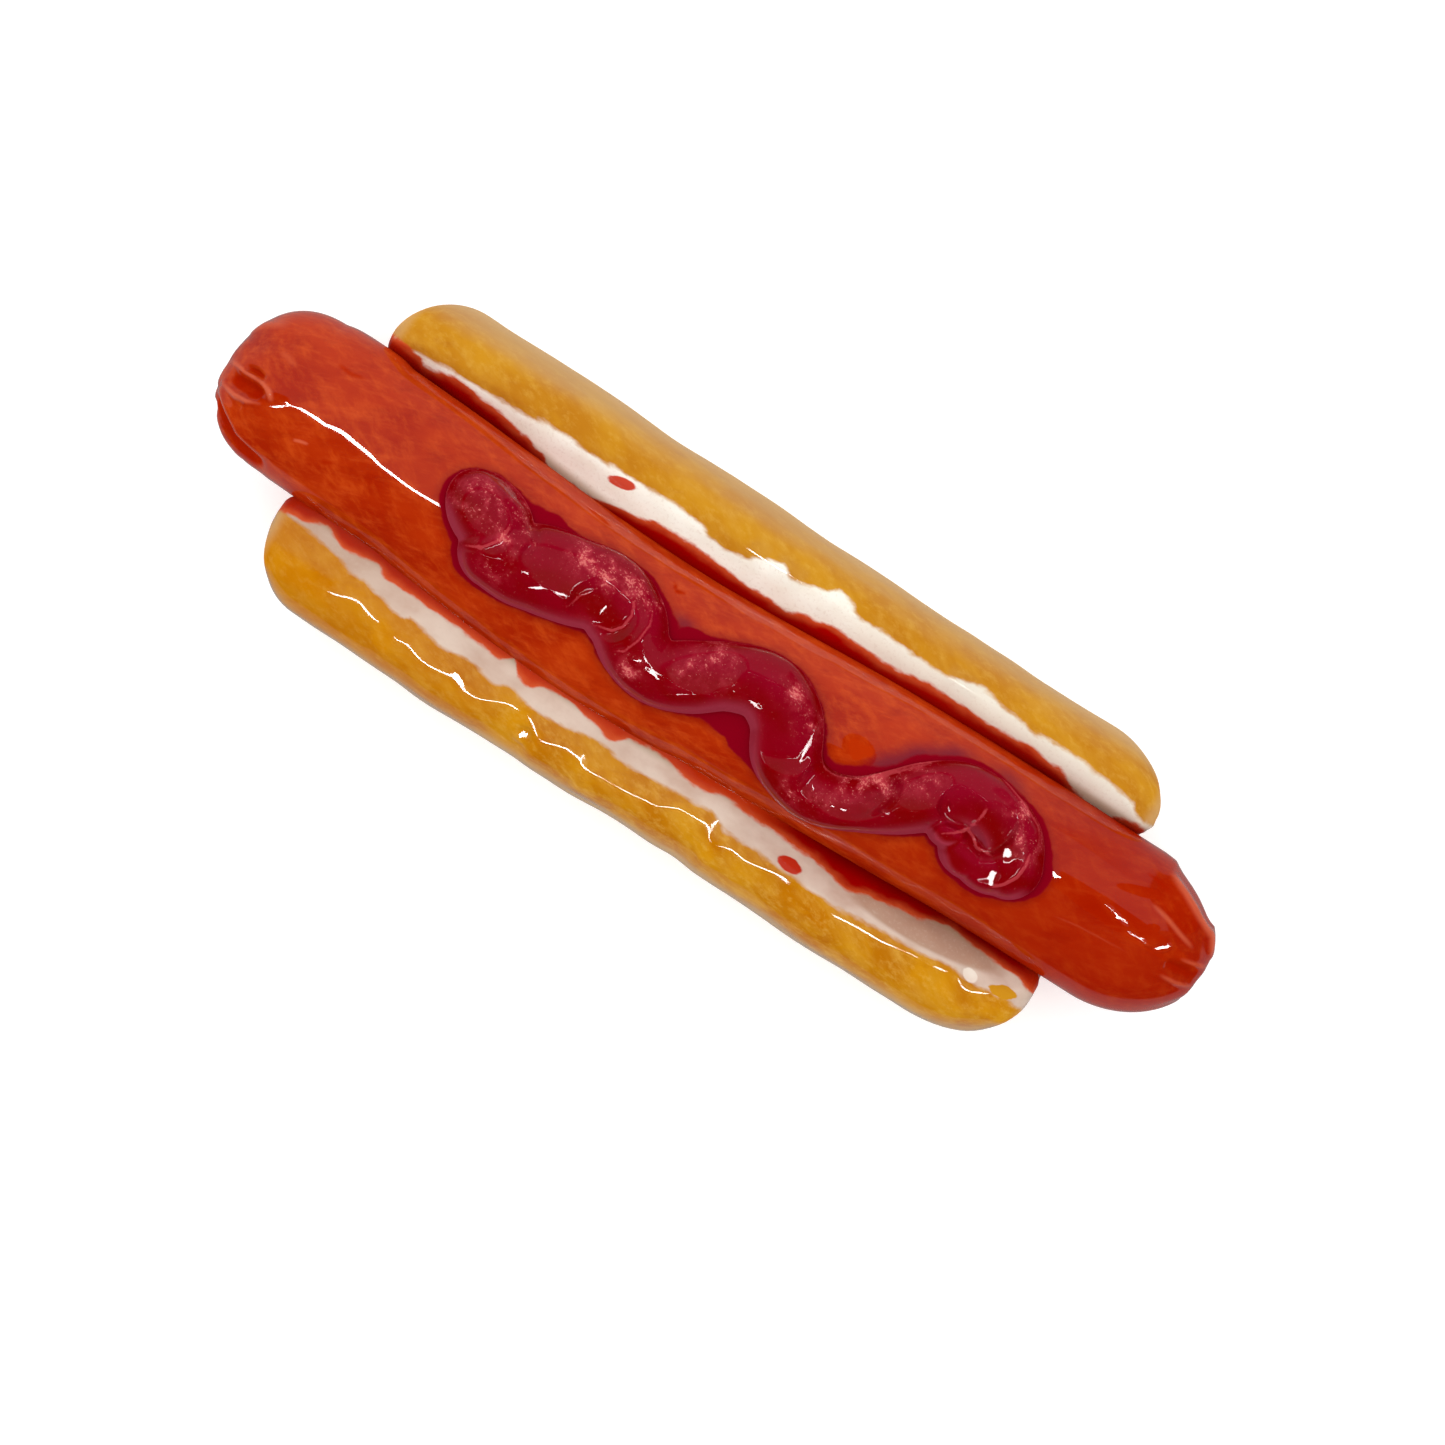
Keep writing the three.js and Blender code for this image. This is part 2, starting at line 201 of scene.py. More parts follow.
def smooth(bm):
    bmesh.ops.smooth_vert(bm, verts=bm.verts, factor=0.5, use_axis_x=True, use_axis_y=True, use_axis_z=True)
    bm.normal_update()


class Paint:
    """One socket of a shader. Used in an expression, it adds the Math nodes of that expression."""

    def __init__(self, tree, socket=None):
        self.tree = tree
        self.socket = socket

    def node(self, kind, settings=None, inputs=None, output=0):
        node = self.tree.nodes.new("ShaderNode" + kind)
        for name, value in (settings or {}).items():
            setattr(node, name, value)
        for key, value in (inputs or {}).items():
            if isinstance(value, Paint):
                self.tree.links.new(value.socket, node.inputs[key])
            else:
                node.inputs[key].default_value = value
        return Paint(self.tree, node.outputs[output])

    def maths(self, operation, *values):
        return self.node("Math", {"operation": operation}, dict(enumerate(values)))

    def __add__(self, other):
        return self.maths("ADD", self, other)

    def __sub__(self, other):
        return self.maths("SUBTRACT", self, other)

    def __rsub__(self, other):
        return self.maths("SUBTRACT", other, self)

    def __mul__(self, other):
        return self.maths("MULTIPLY", self, other)

    __radd__ = __add__
    __rmul__ = __mul__

    def rise(self, low, high):
        """0 below low and 1 above high, with a smooth rise between them."""
        limits = {"Value": self, "From Min": low, "From Max": high}
        return self.node("MapRange", {"interpolation_type": "SMOOTHSTEP"}, limits)

    def blend(self, low, high):
        """The colour low where this is 0, and high where it is 1."""
        return self.node("Mix", {"data_type": "RGBA"}, {"Factor": self, "A": low, "B": high}, output=2)

    def feed(self, socket):
        self.tree.links.new(self.socket, socket)

    def place(self):
        """The X, Y and Z of the painted point."""
        where = self.node("TexCoord", output="Object")
        return [self.node("SeparateXYZ", inputs={"Vector": where}, output=axis) for axis in "XYZ"]

    def field(self, name):
        """A value written on the mesh's points."""
        return self.node("Attribute", {"attribute_name": name}, output="Fac")

    def noise(self, size, stretch=1, offset=0, detail=3, roughness=0.55, slant=0):
        """Noise from 0 to 1 in blotches of the given size, drawn out along X like brush strokes."""
        where = self.node("TexCoord", output="Object")
        turned = self.node("VectorRotate", {"rotation_type": "Z_AXIS"}, {"Vector": where, "Angle": slant})
        placed = self.node("Mapping", inputs={
            "Vector": turned, "Location": (offset, offset, offset), "Scale": (1 / stretch, 1, 1)})
        return self.node("TexNoise", inputs={
            "Vector": placed, "Scale": 1 / size, "Detail": detail, "Roughness": roughness})


def glaze(name, roughness, ior):
    """A new material of painted clay under a clear glaze: the material, its Paint and its shader."""
    material = bpy.data.materials.new(name)
    material.use_nodes = True
    shader = material.node_tree.nodes["Principled BSDF"]
    shader.inputs["Specular IOR Level"].default_value = 0
    shader.inputs["Coat Roughness"].default_value = roughness
    shader.inputs["Coat IOR"].default_value = ior
    return material, Paint(material.node_tree), shader


def srgb(red, green, blue):
    """A colour given as its screen values from 0 to 255."""
    def linear(value):
        value = value / 255
        return value / 12.92 if value <= 0.04045 else ((value + 0.055) / 1.055) ** 2.4
    return (linear(red), linear(green), linear(blue), 1)


def layered(colour, *layers):
    """A colour with layers of (mask, strength, red, green, blue) brushed over it, the last one on top."""
    for mask, strength, *shade in layers:
        colour = (mask * strength).blend(colour, srgb(*shade))
    return colour


# height and width in millimetres of each ridge or valley of the pinched ends, and the points it runs through
folds = [
    (-0.8, 0.55, [(-85.1, 0.5), (-83.1, 0.8), (-81.0, 0.4)]),
    (0.6, 0.5, [(-88.5, 0.3), (-84.5, -0.2), (-81.6, -0.1), (-79.4, -0.8), (-78.2, -2.0)]),
    (-1.1, 1.2, [(-87.0, -1.9), (-83.2, -2.0), (-79.8, -2.0)]),
    (0.6, 0.5, [(-88.0, -3.2), (-84.0, -3.9), (-81.8, -3.6), (-79.4, -2.7)]),
    (-1.35, 1.0, [(-88.4, -5.6), (-84.8, -8.0), (-81.6, -9.9), (-75.0, -11.2)]),
    (0.3, 1.0, [(-87.6, -7.6), (-86.0, -9.5), (-83.5, -11.1), (-80.0, -12.2)]),
    (0.3, 0.8, [(-88.6, 5.0), (-87.0, 7.6), (-82.6, 9.4)]),
    (0.6, 0.8, [(75.6, 12.4), (79.6, 11.1), (83.9, 9.0), (87.2, 7.5), (89.0, 4.2)]),
    (-0.8, 1.0, [(82.2, 0.0), (84.5, 0.3), (88.0, 0.7)]),
    (0.35, 0.5, [(83.4, 1.6), (86.0, 2.2), (89.0, 3.0)]),
    (0.35, 0.5, [(82.2, -1.9), (85.5, -1.6), (89.0, -0.6)]),
]
# broad swells and hollows of the skin, in the same form, which leave its colour alone
swells = [
    (-0.4, 1.8, [(-87.5, 3.0), (-84.5, 5.8), (-80.0, 7.4)]),
    (-0.9, 2.3, [(77.0, 14.6), (83.8, 12.0), (87.5, 9.2)]),
    (-0.35, 1.8, [(74.5, 8.4), (79.0, 8.8), (84.0, 6.8)]),
    (0.7, 0.9, [(-87.8, -4.2), (-84.4, -6.5), (-81.4, -8.4), (-75.5, -9.9)]),
    (0.55, 4.0, [(-77.0, 13.4), (-71.5, 14.4), (-65.0, 14.4)]),
    (0.08, 3.0, [(-76.0, 2.8), (-65.0, 3.2), (-54.0, 2.8)]),
    (0.11, 3.0, [(-70.0, 3.0), (-65.0, 3.2), (-60.0, 3.0)]),
    (0.35, 2.5, [(-82.5, -5.6), (-79.0, -5.2), (-75.5, -5.4)]),
    (0.16, 0.9, [(58.0, 2.4), (63.0, 2.7), (68.6, 2.6), (73.2, 1.6), (78.0, 1.0)]),
    (0.7, 3.0, [(-54.0, -13.2), (-40.0, -14.2), (-26.0, -14.6), (-10.0, -14.5), (2.0, -13.9)]),
]
# faint marks of the brush and the fingers, which only show as paler or darker lines, and a painted highlight
marks = [
    (0.2, 0.25, [(63.0, -3.3), (68.0, -2.4), (77.8, -1.6)]),
    (0.5, 0.28, [(-73.0, -5.0), (-71.6, -4.5), (-70.2, -4.2)]),
    (-0.6, 0.5, [(-12.6, 8.8), (-11.2, 7.4), (-9.4, 8.0)]),
    (-0.5, 0.5, [(-68.0, -5.4), (-66.4, -5.0), (-65.0, -4.2)]),
    (-0.5, 0.6, [(-74.0, 8.6), (-71.0, 8.2), (-68.0, 8.9)]),
    (0.2, 0.8, [(-82.0, 5.4), (-80.0, 5.2), (-77.6, 4.4)]),
    (-0.5, 0.5, [(72.0, 10.2), (75.0, 10.0), (78.5, 9.6)]),
    # a painted highlight: the pale line along the lip of the left end's lower fold
    (0.9, 0.3, [(-86.8, -4.9), (-84.4, -6.8), (-81.6, -8.7), (-76.6, -10.2)]),
    (0.38, 0.5, [(75.0, 6.6), (78.5, 5.9), (82.0, 4.9), (85.5, 4.1)]),
]
# size, depth and stretch along X of the skin's waves, and how far below its middle the skin has folds
skin_waves = [(24 * mm, 0.4 * mm, 1.6), (7 * mm, 0.14 * mm, 2.0)]
fold_drop = 5 * mm
# x, y, half length, half breadth (in millimetres) and heading of each spot where the glaze lies flat
glaze_flats = [
    (-76.7, -1.7, 1.7, 0.5, 32), (60.5, 2.2, 1.2, 0.5, -33), (71.8, 2.2, 2.2, 0.3, -12),
    (76.5, 1.0, 2.0, 0.3, -5), (80.4, 1.7, 1.6, 0.55, 38),
]
# how far up the skin has to face to get such a spot, how steep one may be along the tube, how far from its
# middle it is laid, the share of its reach at which it has faded out, and the most that it moves a point
flat_facing = 0.3
steepest = 0.2
flat_search = 4 * mm
flat_fade = 1.5
flat_move = 1 * mm
# the ovals where the glaze is dull, in the same form; the flat spots in them stay bright
dull_places = [
    (72.0, 1.8, 18.0, 2.0, -1), (25.3, 2.0, 3.4, 2.3, -10), (79.4, 8.4, 5.4, 2.6, -24),
    (73.6, 7.4, 5.0, 0.9, 18), (77.5, 3.4, 1.4, 0.8, 35), (-77.5, -0.7, 1.9, 0.7, 8),
    (-79.7, -2.6, 0.8, 0.6, 0), (24.4, -0.1, 6.0, 1.1, 3),
]

camera_turn = math.radians(32.8)
right = Vector((math.cos(camera_turn), math.sin(camera_turn), 0))
back = Vector((-math.sin(camera_turn), math.cos(camera_turn), 0))
camera_place = Vector((5.6 * mm, -5.7 * mm, sausage_height + 440.2 * mm))
tube_lean = 0.094
tube_place = right * 0.12 - back * tube_lean + Vector((0, 0, 1))


def oval_distance(place, x, y, half_length, half_breadth, heading):
    """How far a place lies from the middle of an oval, as a share of the oval's own reach that way."""
    turn = math.radians(heading)
    away_x = place.x / mm - x
    away_y = place.y / mm - y
    along = away_x * math.cos(turn) + away_y * math.sin(turn)
    across = away_y * math.cos(turn) - away_x * math.sin(turn)
    return math.hypot(along / half_length, across / half_breadth)


def lay_flats(bm, flats):
    """Flattens small oval spots of the top. Each leans just enough to catch the tube's light."""
    tree = BVHTree.FromBMesh(bm)
    tops = [vert for vert in bm.verts if vert.normal.z > flat_facing]
    for oval in flats:
        spot, normal = tree.ray_cast(Vector((*oval[:2], 100)) * mm, Vector((0, 0, -1)))[:2]
        to_camera = camera_place - spot
        to_tube = tube_place - spot
        lean = -(back.dot(to_camera) / to_camera.z + back.dot(to_tube) / to_tube.z) / 2
        slope = Vector((-normal.x / normal.z, -normal.y / normal.z, 0))
        slope += back * (lean - slope.dot(back))
        steepness = slope.dot(right)
        slope += right * (max(-steepest, min(steepest, steepness)) - steepness)
        for vert in tops:
            if abs(vert.co.x - spot.x) < flat_search:
                away = oval_distance(vert.co, *oval)
                level = spot.z + slope.dot(vert.co - spot)
                if away < flat_fade and abs(level - vert.co.z) < flat_move:
                    vert.co.z = lerp(level, vert.co.z, ease(away, 1, flat_fade))


material, paint, shader = glaze("sausage_glaze", 0.035, 1.5)
at_x, at_y, at_z = paint.place()
washes = paint.noise(8 * mm, stretch=1.8, slant=-0.5).rise(0.32, 0.68)
dabs = paint.noise(2.2 * mm, stretch=2.2, offset=3, slant=0.5, detail=4, roughness=0.65).rise(0.42, 0.78)
strokes = paint.noise(1.3 * mm, stretch=4, offset=6, slant=-0.35, detail=4, roughness=0.65).rise(0.45, 0.8)
smears = paint.noise(3.2 * mm, stretch=2.5, offset=16, slant=-0.6, detail=4, roughness=0.65).rise(0.52, 0.75)
lower_side = 1 - (at_y + (washes - 0.5) * (8 * mm)).rise(-6 * mm, 4 * mm)
right_part = at_x.rise(20 * mm, 72 * mm)
upper_left = at_y.rise(4 * mm, 12 * mm) * (1 - right_part)
fold_glaze_and_shade = paint.field("fold_glaze_and_shade")
edge_wobble = (paint.noise(2.5 * mm, offset=8) - 0.5) * 0.9
past_run = paint.field("past_glaze_run") + edge_wobble
film = paint.field("thinned_run") * (1 - past_run.rise(0, 3.5))
bare = (paint.field("bare_orange") + edge_wobble * 0.5).rise(0.3, 0.75)
upper_colour = washes.blend(srgb(154, 24, 1), srgb(174, 44, 5))
lower_colour = washes.blend(srgb(162, 30, 0), srgb(180, 48, 4))
skin_colour = layered(
    lower_side.blend(upper_colour, lower_colour),
    (upper_left, 0.5, 190, 56, 12),
    (dabs, 0.55, 206, 78, 20),
    (strokes, 0.5, 204, 76, 24),
    (smears, 0.45, 142, 16, 0),
    (right_part, 0.6, 154, 20, 0),
    # paler on the ridges of the folds, where the glaze runs thin, and darker in their valleys, where it pools;
    # the dark valleys are also painted shade in the creases, and the pale lip line is a painted highlight
    (fold_glaze_and_shade.rise(0.05, 0.5), 0.6, 216, 104, 72),
    (1 - fold_glaze_and_shade.rise(-0.7, -0.15), 0.8, 158, 22, 0),
    (1 - past_run.rise(0, 1.6), 0.4, 136, 16, 6),
    (film, 0.9, 116, 8, 34),
    (1 - past_run.rise(-0.2, 0.25), 1, 130, 2, 22),
    (bare, 0.9, 176, 44, 4),
)
skin_colour.feed(shader.inputs["Base Color"])
dull = (paint.field("dull") + (strokes - 0.5) * 0.2).rise(0.1, 0.4)
at_end = at_x.maths("ABSOLUTE", at_x).rise(67 * mm, 73 * mm)
in_joint = (1 - at_z.rise(25 * mm, 32 * mm)) * (1 - at_end)
glossy = (1 - dull) * past_run.rise(-0.2, 0.3) * (1 - in_joint * 0.8) * fold_glaze_and_shade.rise(-0.6, -0.2)
glossy.feed(shader.inputs["Coat Weight"])

bm = bmesh.new()
rolled_form(bm, 230, 420, sausage_point)
bm.normal_update()
tones = []
for vert in bm.verts:
    fold_lift = swell_lift = mark_tone = 0
    if vert.co.z > sausage_height - fold_drop:
        fold_lift = stroke_lift(vert.co, folds)
        swell_lift = stroke_lift(vert.co, swells)
        mark_tone = stroke_lift(vert.co, marks)
    vert.co += vert.normal * (skin_noise(vert.co, skin_waves, seed=2) + fold_lift + swell_lift)
    tones.append((fold_lift + mark_tone) / mm)
smooth(bm)
lay_flats(bm, glaze_flats)
bm.normal_update()
sausage = add_piece(bm, "sausage_skin", "sausage", material)


# ---- Bun -------------------------------------------------------------------------------------------------
# One thick roll of clay folded up round the sausage, so it reads as a split bun with a flat foot. Its cut
# faces are white slip, its crust is ochre brushed down to bare buff clay, and red has run into the joint.

bun_length = 142.2 * mm
bun_half_width = {1: (29.0 * mm, 27.9 * mm), -1: (28.5 * mm, 28.5 * mm)}
front_swell = {"depth": 0.35 * mm, "pitch": 78 * mm, "place": -35 * mm}
widest_height = 9 * mm
crest_height = 25 * mm
# X and Y of each crest; the front one wanders, because the clay was pressed there with the fingers
crest_line = {
    1: [(0, 19.3)],
    -1: [(-58, 20.4), (-56, 20.1), (-51.5, 19.7), (-48, 21.0), (-44, 21.9), (-42, 21.5), (-39, 22.0),
         (-34.4, 21.8), (-29.2, 23.0), (-23, 20.7), (-20.5, 20.7), (-16.6, 22.8), (-12, 21.7), (-10.2, 21.7),
         (-7.5, 23.2), (-4.8, 23.1), (3, 22.3), (7.9, 20.5), (12, 20.3), (14.2, 22.2), (17.4, 21.3),
         (20, 21.8), (27.4, 20.2), (36.4, 20.9), (43.4, 20.9), (51, 20.1), (57, 19.2), (60.5, 19.4),
         (64, 18.6)],
}
shoulder_fullness = {1: 1.08, -1: 1.3}
end_fullness = 0.75
foot_half_width = 22.5 * mm
# how far inside its crest, and at which height, lies the point towards which each cut face leaves it
face_bend = {1: (2.4 * mm, 24.7 * mm), -1: (2.2 * mm, 24.7 * mm)}
# how much shorter than the bun one of its four corners is
end_trim = {(1, -1): 1.3 * mm}
corner_round = {(-1, 1): 10.5 * mm, (-1, -1): 9.5 * mm, (1, 1): 12 * mm, (1, -1): 16 * mm}
crest_round = 8 * mm
face_round = 3 * mm
foot_round = 5 * mm
core_distance = 3.4 * mm
face_share = 0.6
shoulder_share = 0.6
underside_share = 0.8
end_rings = 0.14
# the angle round the sausage at which the skin of the bun's ends closes, from the crest (0) to the foot (1)
core_angles = [(0, -8), (shoulder_share, -25), (underside_share, -50), (1, -90)]

# how far the joint lies inside the sausage's skin, and the angle on it up to which clay and glaze fill the
# joint, at places along each half
joint_overlap = 0.5 * mm
joint_top = {
    1: [(-71, -4), (-62, -10), (-48, -10), (-40, -6), (-28, -2), (-15, 0), (40, 0), (55, -2), (62, 0),
        (71, 0)],
    -1: [(-71, 6), (-60, 11), (-30, 12), (-5, 11), (12, 10), (24, 2), (34, -7), (58, -8), (66, -3), (71, 0)],
}
# Y of the brushed edge between white and ochre, and of the edge of the red that has run out of the joint
crust_edge = {
    1: [(-65, 16.9), (-62, 17.5), (-46, 17.9), (-43, 18.6), (-31, 18.6), (-19, 18.9), (-14, 18.6),
        (-11, 17.5), (-9, 17.1), (-6, 17.9), (-2, 19.4), (0, 20.0), (3, 18.9), (8, 20.3), (10, 21.3),
        (12, 20.7), (15, 19.7), (31, 19.3), (37, 20.7), (43, 19.7), (47, 19.1), (53, 19.4), (64, 18.9),
        (66, 18.3), (68, 16.9)],
    -1: [(-68, 15.1), (-62, 15.9), (-55, 17.3), (-50, 18.1), (-45, 18.9), (-44, 18.2), (-37, 19.6),
         (-34, 19.2), (-28, 19.8), (-25, 19.0), (-19, 19.8), (-9, 18.6), (-3, 19.3), (9, 18.4), (11, 18.1),
         (15, 19.6), (28, 20.0), (36, 20.3), (42, 19.6), (50, 19.3), (56, 18.4), (61, 18.7), (63, 18.2),
         (70, 18.2)],
}
stain_edge = {
    1: [(-71, 17.6), (-65, 16.8), (-64, 16.1), (-58, 17.1), (-51, 16.5), (-45, 15.4), (-41, 14.3),
        (-39, 13.0), (-30, 13.0), (-25, 14.1), (-19, 15.1), (3, 14.6), (9, 15.5), (12, 16.5), (22, 16.0),
        (31, 16.8), (43, 16.8), (48, 17.4), (53, 17.0), (59, 15.0), (61, 13.5), (63, 13.5), (66, 15.6),
        (69, 16.0)],
    -1: [(-71, 15.3), (-67, 15.1), (-63, 13.7), (-58, 15.0), (-53, 14.2), (-50, 15.3), (-37, 15.8),
         (-29, 16.5), (-27, 15.1), (-25, 17.3), (-23, 17.8), (-20, 16.2), (-17, 15.9), (-12, 16.7),
         (-8, 17.8), (-5, 16.1), (-2, 15.4), (9, 16.5), (12, 15.4), (28, 15.9), (36, 17.3), (40, 16.1),
         (47, 15.0), (53, 13.4), (59, 14.0), (66, 14.4), (69, 15.1)],
}
# how dark the red in the joint is, from a brushed orange red (0) to the deepest red (1)
stain_depth = {1: [(-71, 0.8), (-60, 1), (14, 1), (34, 0.95), (71, 0.9)],
               -1: [(-71, 0.6), (-50, 0.5), (-30, 0.1), (16, 0.1), (26, 1), (64, 1), (71, 0.4)]}
# the stretches of each crest, from x to x, that are glossy enough to mirror the tube
glossy_runs = {1: [(-5.6, -2.4), (-1.0, 4.5), (31.0, 36.4)],
               -1: [(-56.5, -48.0), (-44.1, -22.4), (-20.0, -17.7), (-16.5, 13.6), (15.7, 27.4), (36.4, 51.0),
                    (53.8, 55.6), (58.2, 63.0)]}
# x, y, reach and height of each lump (or hollow) of the crust, all in millimetres
lumps = [
    (-52, -23.0, 3.0, 0.15), (-48.5, -25.0, 2.0, 0.35), (-36, -25.4, 3.0, -0.25), (-26, -25.0, 3.0, 0.2),
    (-19, -25.4, 2.0, 0.35), (-9.5, -25.4, 2.4, -0.2), (-3, -25.6, 3.0, 0.2), (10.5, -26.0, 3.0, 0.45),
    (24, -25.0, 4.0, 0.2), (42, -25.0, 4.0, 0.2), (59.3, -17.9, 1.3, 0.6), (-60, 23.5, 5.0, 0.3),
    (-35, 22.5, 6.0, -0.25), (12, 22.0, 4.0, 0.3), (36, 22.0, 4.0, 0.25), (50, -15.8, 3.5, -0.7),
    (42, -15.8, 3.0, -0.6), (58, -15.2, 3.0, -0.5),
]
# the spots of the crust where the glaze lies flat, and a stretch of the white face painted darker as shade
crust_flats = [(-32.6, -22.4, 1.7, 0.6, -25), (-19.5, -24.2, 1.2, 1.1, -20), (-9.6, -22.0, 1.0, 0.4, -50),
               (12.4, -20.8, 0.9, 0.3, -60), (13.4, -23.2, 1.0, 0.3, -30), (31.5, -23.0, 1.2, 0.15, 0)]
painted_shade_places = [(50, -15.8, 15, 2.8, 5)]
# x, y, half length, half breadth and heading of the red, ochre and white spots on the cut faces
red_spots = [(-27.7, 17.2, 2.6, 0.95, 12), (26.3, -18.7, 2.35, 1.25, 0)]
ochre_spots = [(64.9, -17.3, 2.4, 1.1, 15)]
white_spots = [(59.3, -17.9, 1.5, 1.1, -10)]

# how far outside of each crest it mirrors the tube
crest_shift = {1: 0, -1: 1.5 * mm}
# how glossy the crust outside of each crest is, and the reach over which it gets so
crust_sheen = {1: (0.4, 9 * mm), -1: (1, 2.5 * mm)}


def half_width(x, side):
    left, right = bun_half_width[side]
    taper = lerp(left, right, ease(x, -bun_length / 2, bun_length / 4))
    swell = math.cos(2 * math.pi * (x - front_swell["place"]) / front_swell["pitch"])
    return taper + (front_swell["depth"] * swell if side < 0 else 0)


def along_line(points, x):
    """The value at x on a smooth line through given points (x, value)."""
    for (x0, value0), (x1, value1) in zip(points, points[1:]):
        if x <= x1:
            return lerp(value0, value1, ease(x, x0, x1))
    return points[-1][1]


def crest_y(x, side):
    return along_line(crest_line[side], x / mm) * mm


def outside_point(share, side, x):
    """The crust from the crest (0) over the shoulder and under the bun to the middle of the foot (1)."""
    if share < shoulder_share:
        turn = math.pi / 2 * share / shoulder_share
        across = math.sin(turn) ** (1 / shoulder_fullness[side])
        up = max(0, math.cos(turn)) ** (1 / shoulder_fullness[side])
        return lerp(crest_y(x, side), half_width(x, side), across), lerp(widest_height, crest_height, up)
    if share < underside_share:
        turn = math.pi / 2 * (share - shoulder_share) / (underside_share - shoulder_share)
        across, up = math.cos(turn), 1 - math.sin(turn)
        return lerp(foot_half_width, half_width(x, side), across), widest_height * up
    return foot_half_width * (1 - share) / (1 - underside_share), 0


def inside_point(share, side, x):
    """The cut face from the crest (0) down to the joint, then on under the sausage to its lowest line (1)."""
    middle = side * centreline(x)
    radius = body_radius(x) - joint_overlap
    joint = along_line(joint_top[side], x / mm)
    if share < face_share:
        t = share / face_share
        foot_y = middle + radius * math.cos(math.radians(joint))
        foot_z = sausage_height + radius * math.sin(math.radians(joint))
        bend_in, bend_z = face_bend[side]
        crest = crest_y(x, side)
        y = (1 - t) ** 2 * crest + 2 * t * (1 - t) * (crest - bend_in) + t * t * foot_y
        z = (1 - t) ** 2 * crest_height + 2 * t * (1 - t) * bend_z + t * t * foot_z
        return y, z
    turn = math.radians(lerp(joint, -90, (share - face_share) / (1 - face_share)))
    return middle + radius * math.cos(turn), sausage_height + radius * math.sin(turn)


def end_rounding(share, inside, side, end):
    """The length over which the end of the bun rounds over, at a place in its section."""
    if inside:
        return lerp(crest_round, face_round, ease(share, 0, face_share * 0.7))
    near_crest = 1 - ease(share, 0, shoulder_share * 0.6)
    near_foot = ease(share, shoulder_share, underside_share)
    round_length = lerp(corner_round[(end, side)], crest_round, near_crest)
    return lerp(round_length, foot_round, near_foot)


def bun_point(along, share, inside, side):
    """A point of the bun: along runs from -1 to 1, and its outer parts are the rounded ends."""
    end = 1 if along > 0 else -1
    left = end_rounding(share, inside, side, -1)
    right = end_rounding(share, inside, side, 1)
    first_core, last_core = core_angles[0][1], core_angles[-1][1]
    if inside:
        core = lerp(first_core, last_core, max(0, share - face_share) / (1 - face_share))
    else:
        core = along_line(core_angles, share)
    trim = end_trim.get((end, side), 0) * (core - last_core) / (first_core - last_core)
    half_length = bun_length / 2 - trim * abs(along)
    opened = 1
    if abs(along) > 1 - end_rings:
        roll = math.pi / 2 * (1 - abs(along)) / end_rings
        x = end * (half_length - (right if end > 0 else left) * (1 - math.cos(roll)))
        opened = math.sin(roll) ** end_fullness
    else:
        x = lerp(-half_length + left, half_length - right, 0.5 + along / (2 * (1 - end_rings)))
    y, z = (inside_point if inside else outside_point)(share, side, x)
    core = math.radians(core)
    core_radius = sausage_radius + core_distance
    core_y = side * centreline(x) + core_radius * math.cos(core)
    core_z = sausage_height + core_radius * math.sin(core)
    return Vector((x, side * lerp(core_y, y, opened), lerp(core_z, z, opened)))


def in_run(x, runs):
    """1 where x lies in one of some runs (start, stop), with soft ends."""
    return max(
        min(ease(x, start - 0.5, start + 0.5), 1 - ease(x, stop - 0.5, stop + 0.5)) for start, stop in runs)


def in_spot(place, spots):
    """How far a place lies inside the nearest of some oval spots: 1 at its middle, 0 at its edge."""
    return max(1 - oval_distance(place, *spot) for spot in spots)


material, paint, shader = glaze("bun_glaze", 0.06, 1.5)
at_x, at_y, at_z = paint.place()
upper_half = at_y.rise(-1 * mm, 1 * mm)
fine = paint.noise(1.6 * mm, stretch=2, offset=1) - 0.5
coarse = paint.noise(6 * mm, stretch=2.5, offset=5) - 0.5
crust_mask = (paint.field("past_crust_edge") + fine * 1.7 + coarse * 1.1).rise(-0.5, 0.4)
inside_stain = paint.field("inside_stain") + fine * 1.5 + coarse
stain_mask = inside_stain.rise(-0.25, 0.4)
red_spot = (paint.field("in_red_spot") + fine * 0.5).rise(0, 0.2)
ochre_spot = (paint.field("in_ochre_spot") + fine * 0.8).rise(0, 0.15)
white_spot = (paint.field("in_white_spot") + fine * 0.5).rise(0, 0.2)
washes = paint.noise(7 * mm, stretch=1.8, offset=11, slant=0.5).rise(0.35, 0.68)
streaks = paint.noise(2.4 * mm, stretch=3, offset=21, slant=0.45, detail=4, roughness=0.65).rise(0.4, 0.8)
dark_dabs = paint.noise(3 * mm, stretch=2, offset=31, slant=-0.4, detail=4, roughness=0.65).rise(0.52, 0.8)
mottles = paint.noise(1.3 * mm, stretch=1.6, offset=41, slant=0.3, detail=5, roughness=0.7).rise(0.46, 0.72)
rim_wobble = paint.noise(4 * mm, stretch=6, offset=7) - 0.5
upper_rim = (at_y + rim_wobble * (4 * mm)).rise(22 * mm, 28.5 * mm)
lower_left = (1 - upper_half) * (1 - at_x.rise(-45 * mm, -10 * mm))
buff_height = at_z + rim_wobble * (5 * mm) - (1 - upper_half) * (1.8 * mm)
buff_mask = 1 - buff_height.rise(13.5 * mm, 20.5 * mm)
end_rim = at_x.maths("ABSOLUTE", at_x).rise(68 * mm, 70.5 * mm) * 0.8
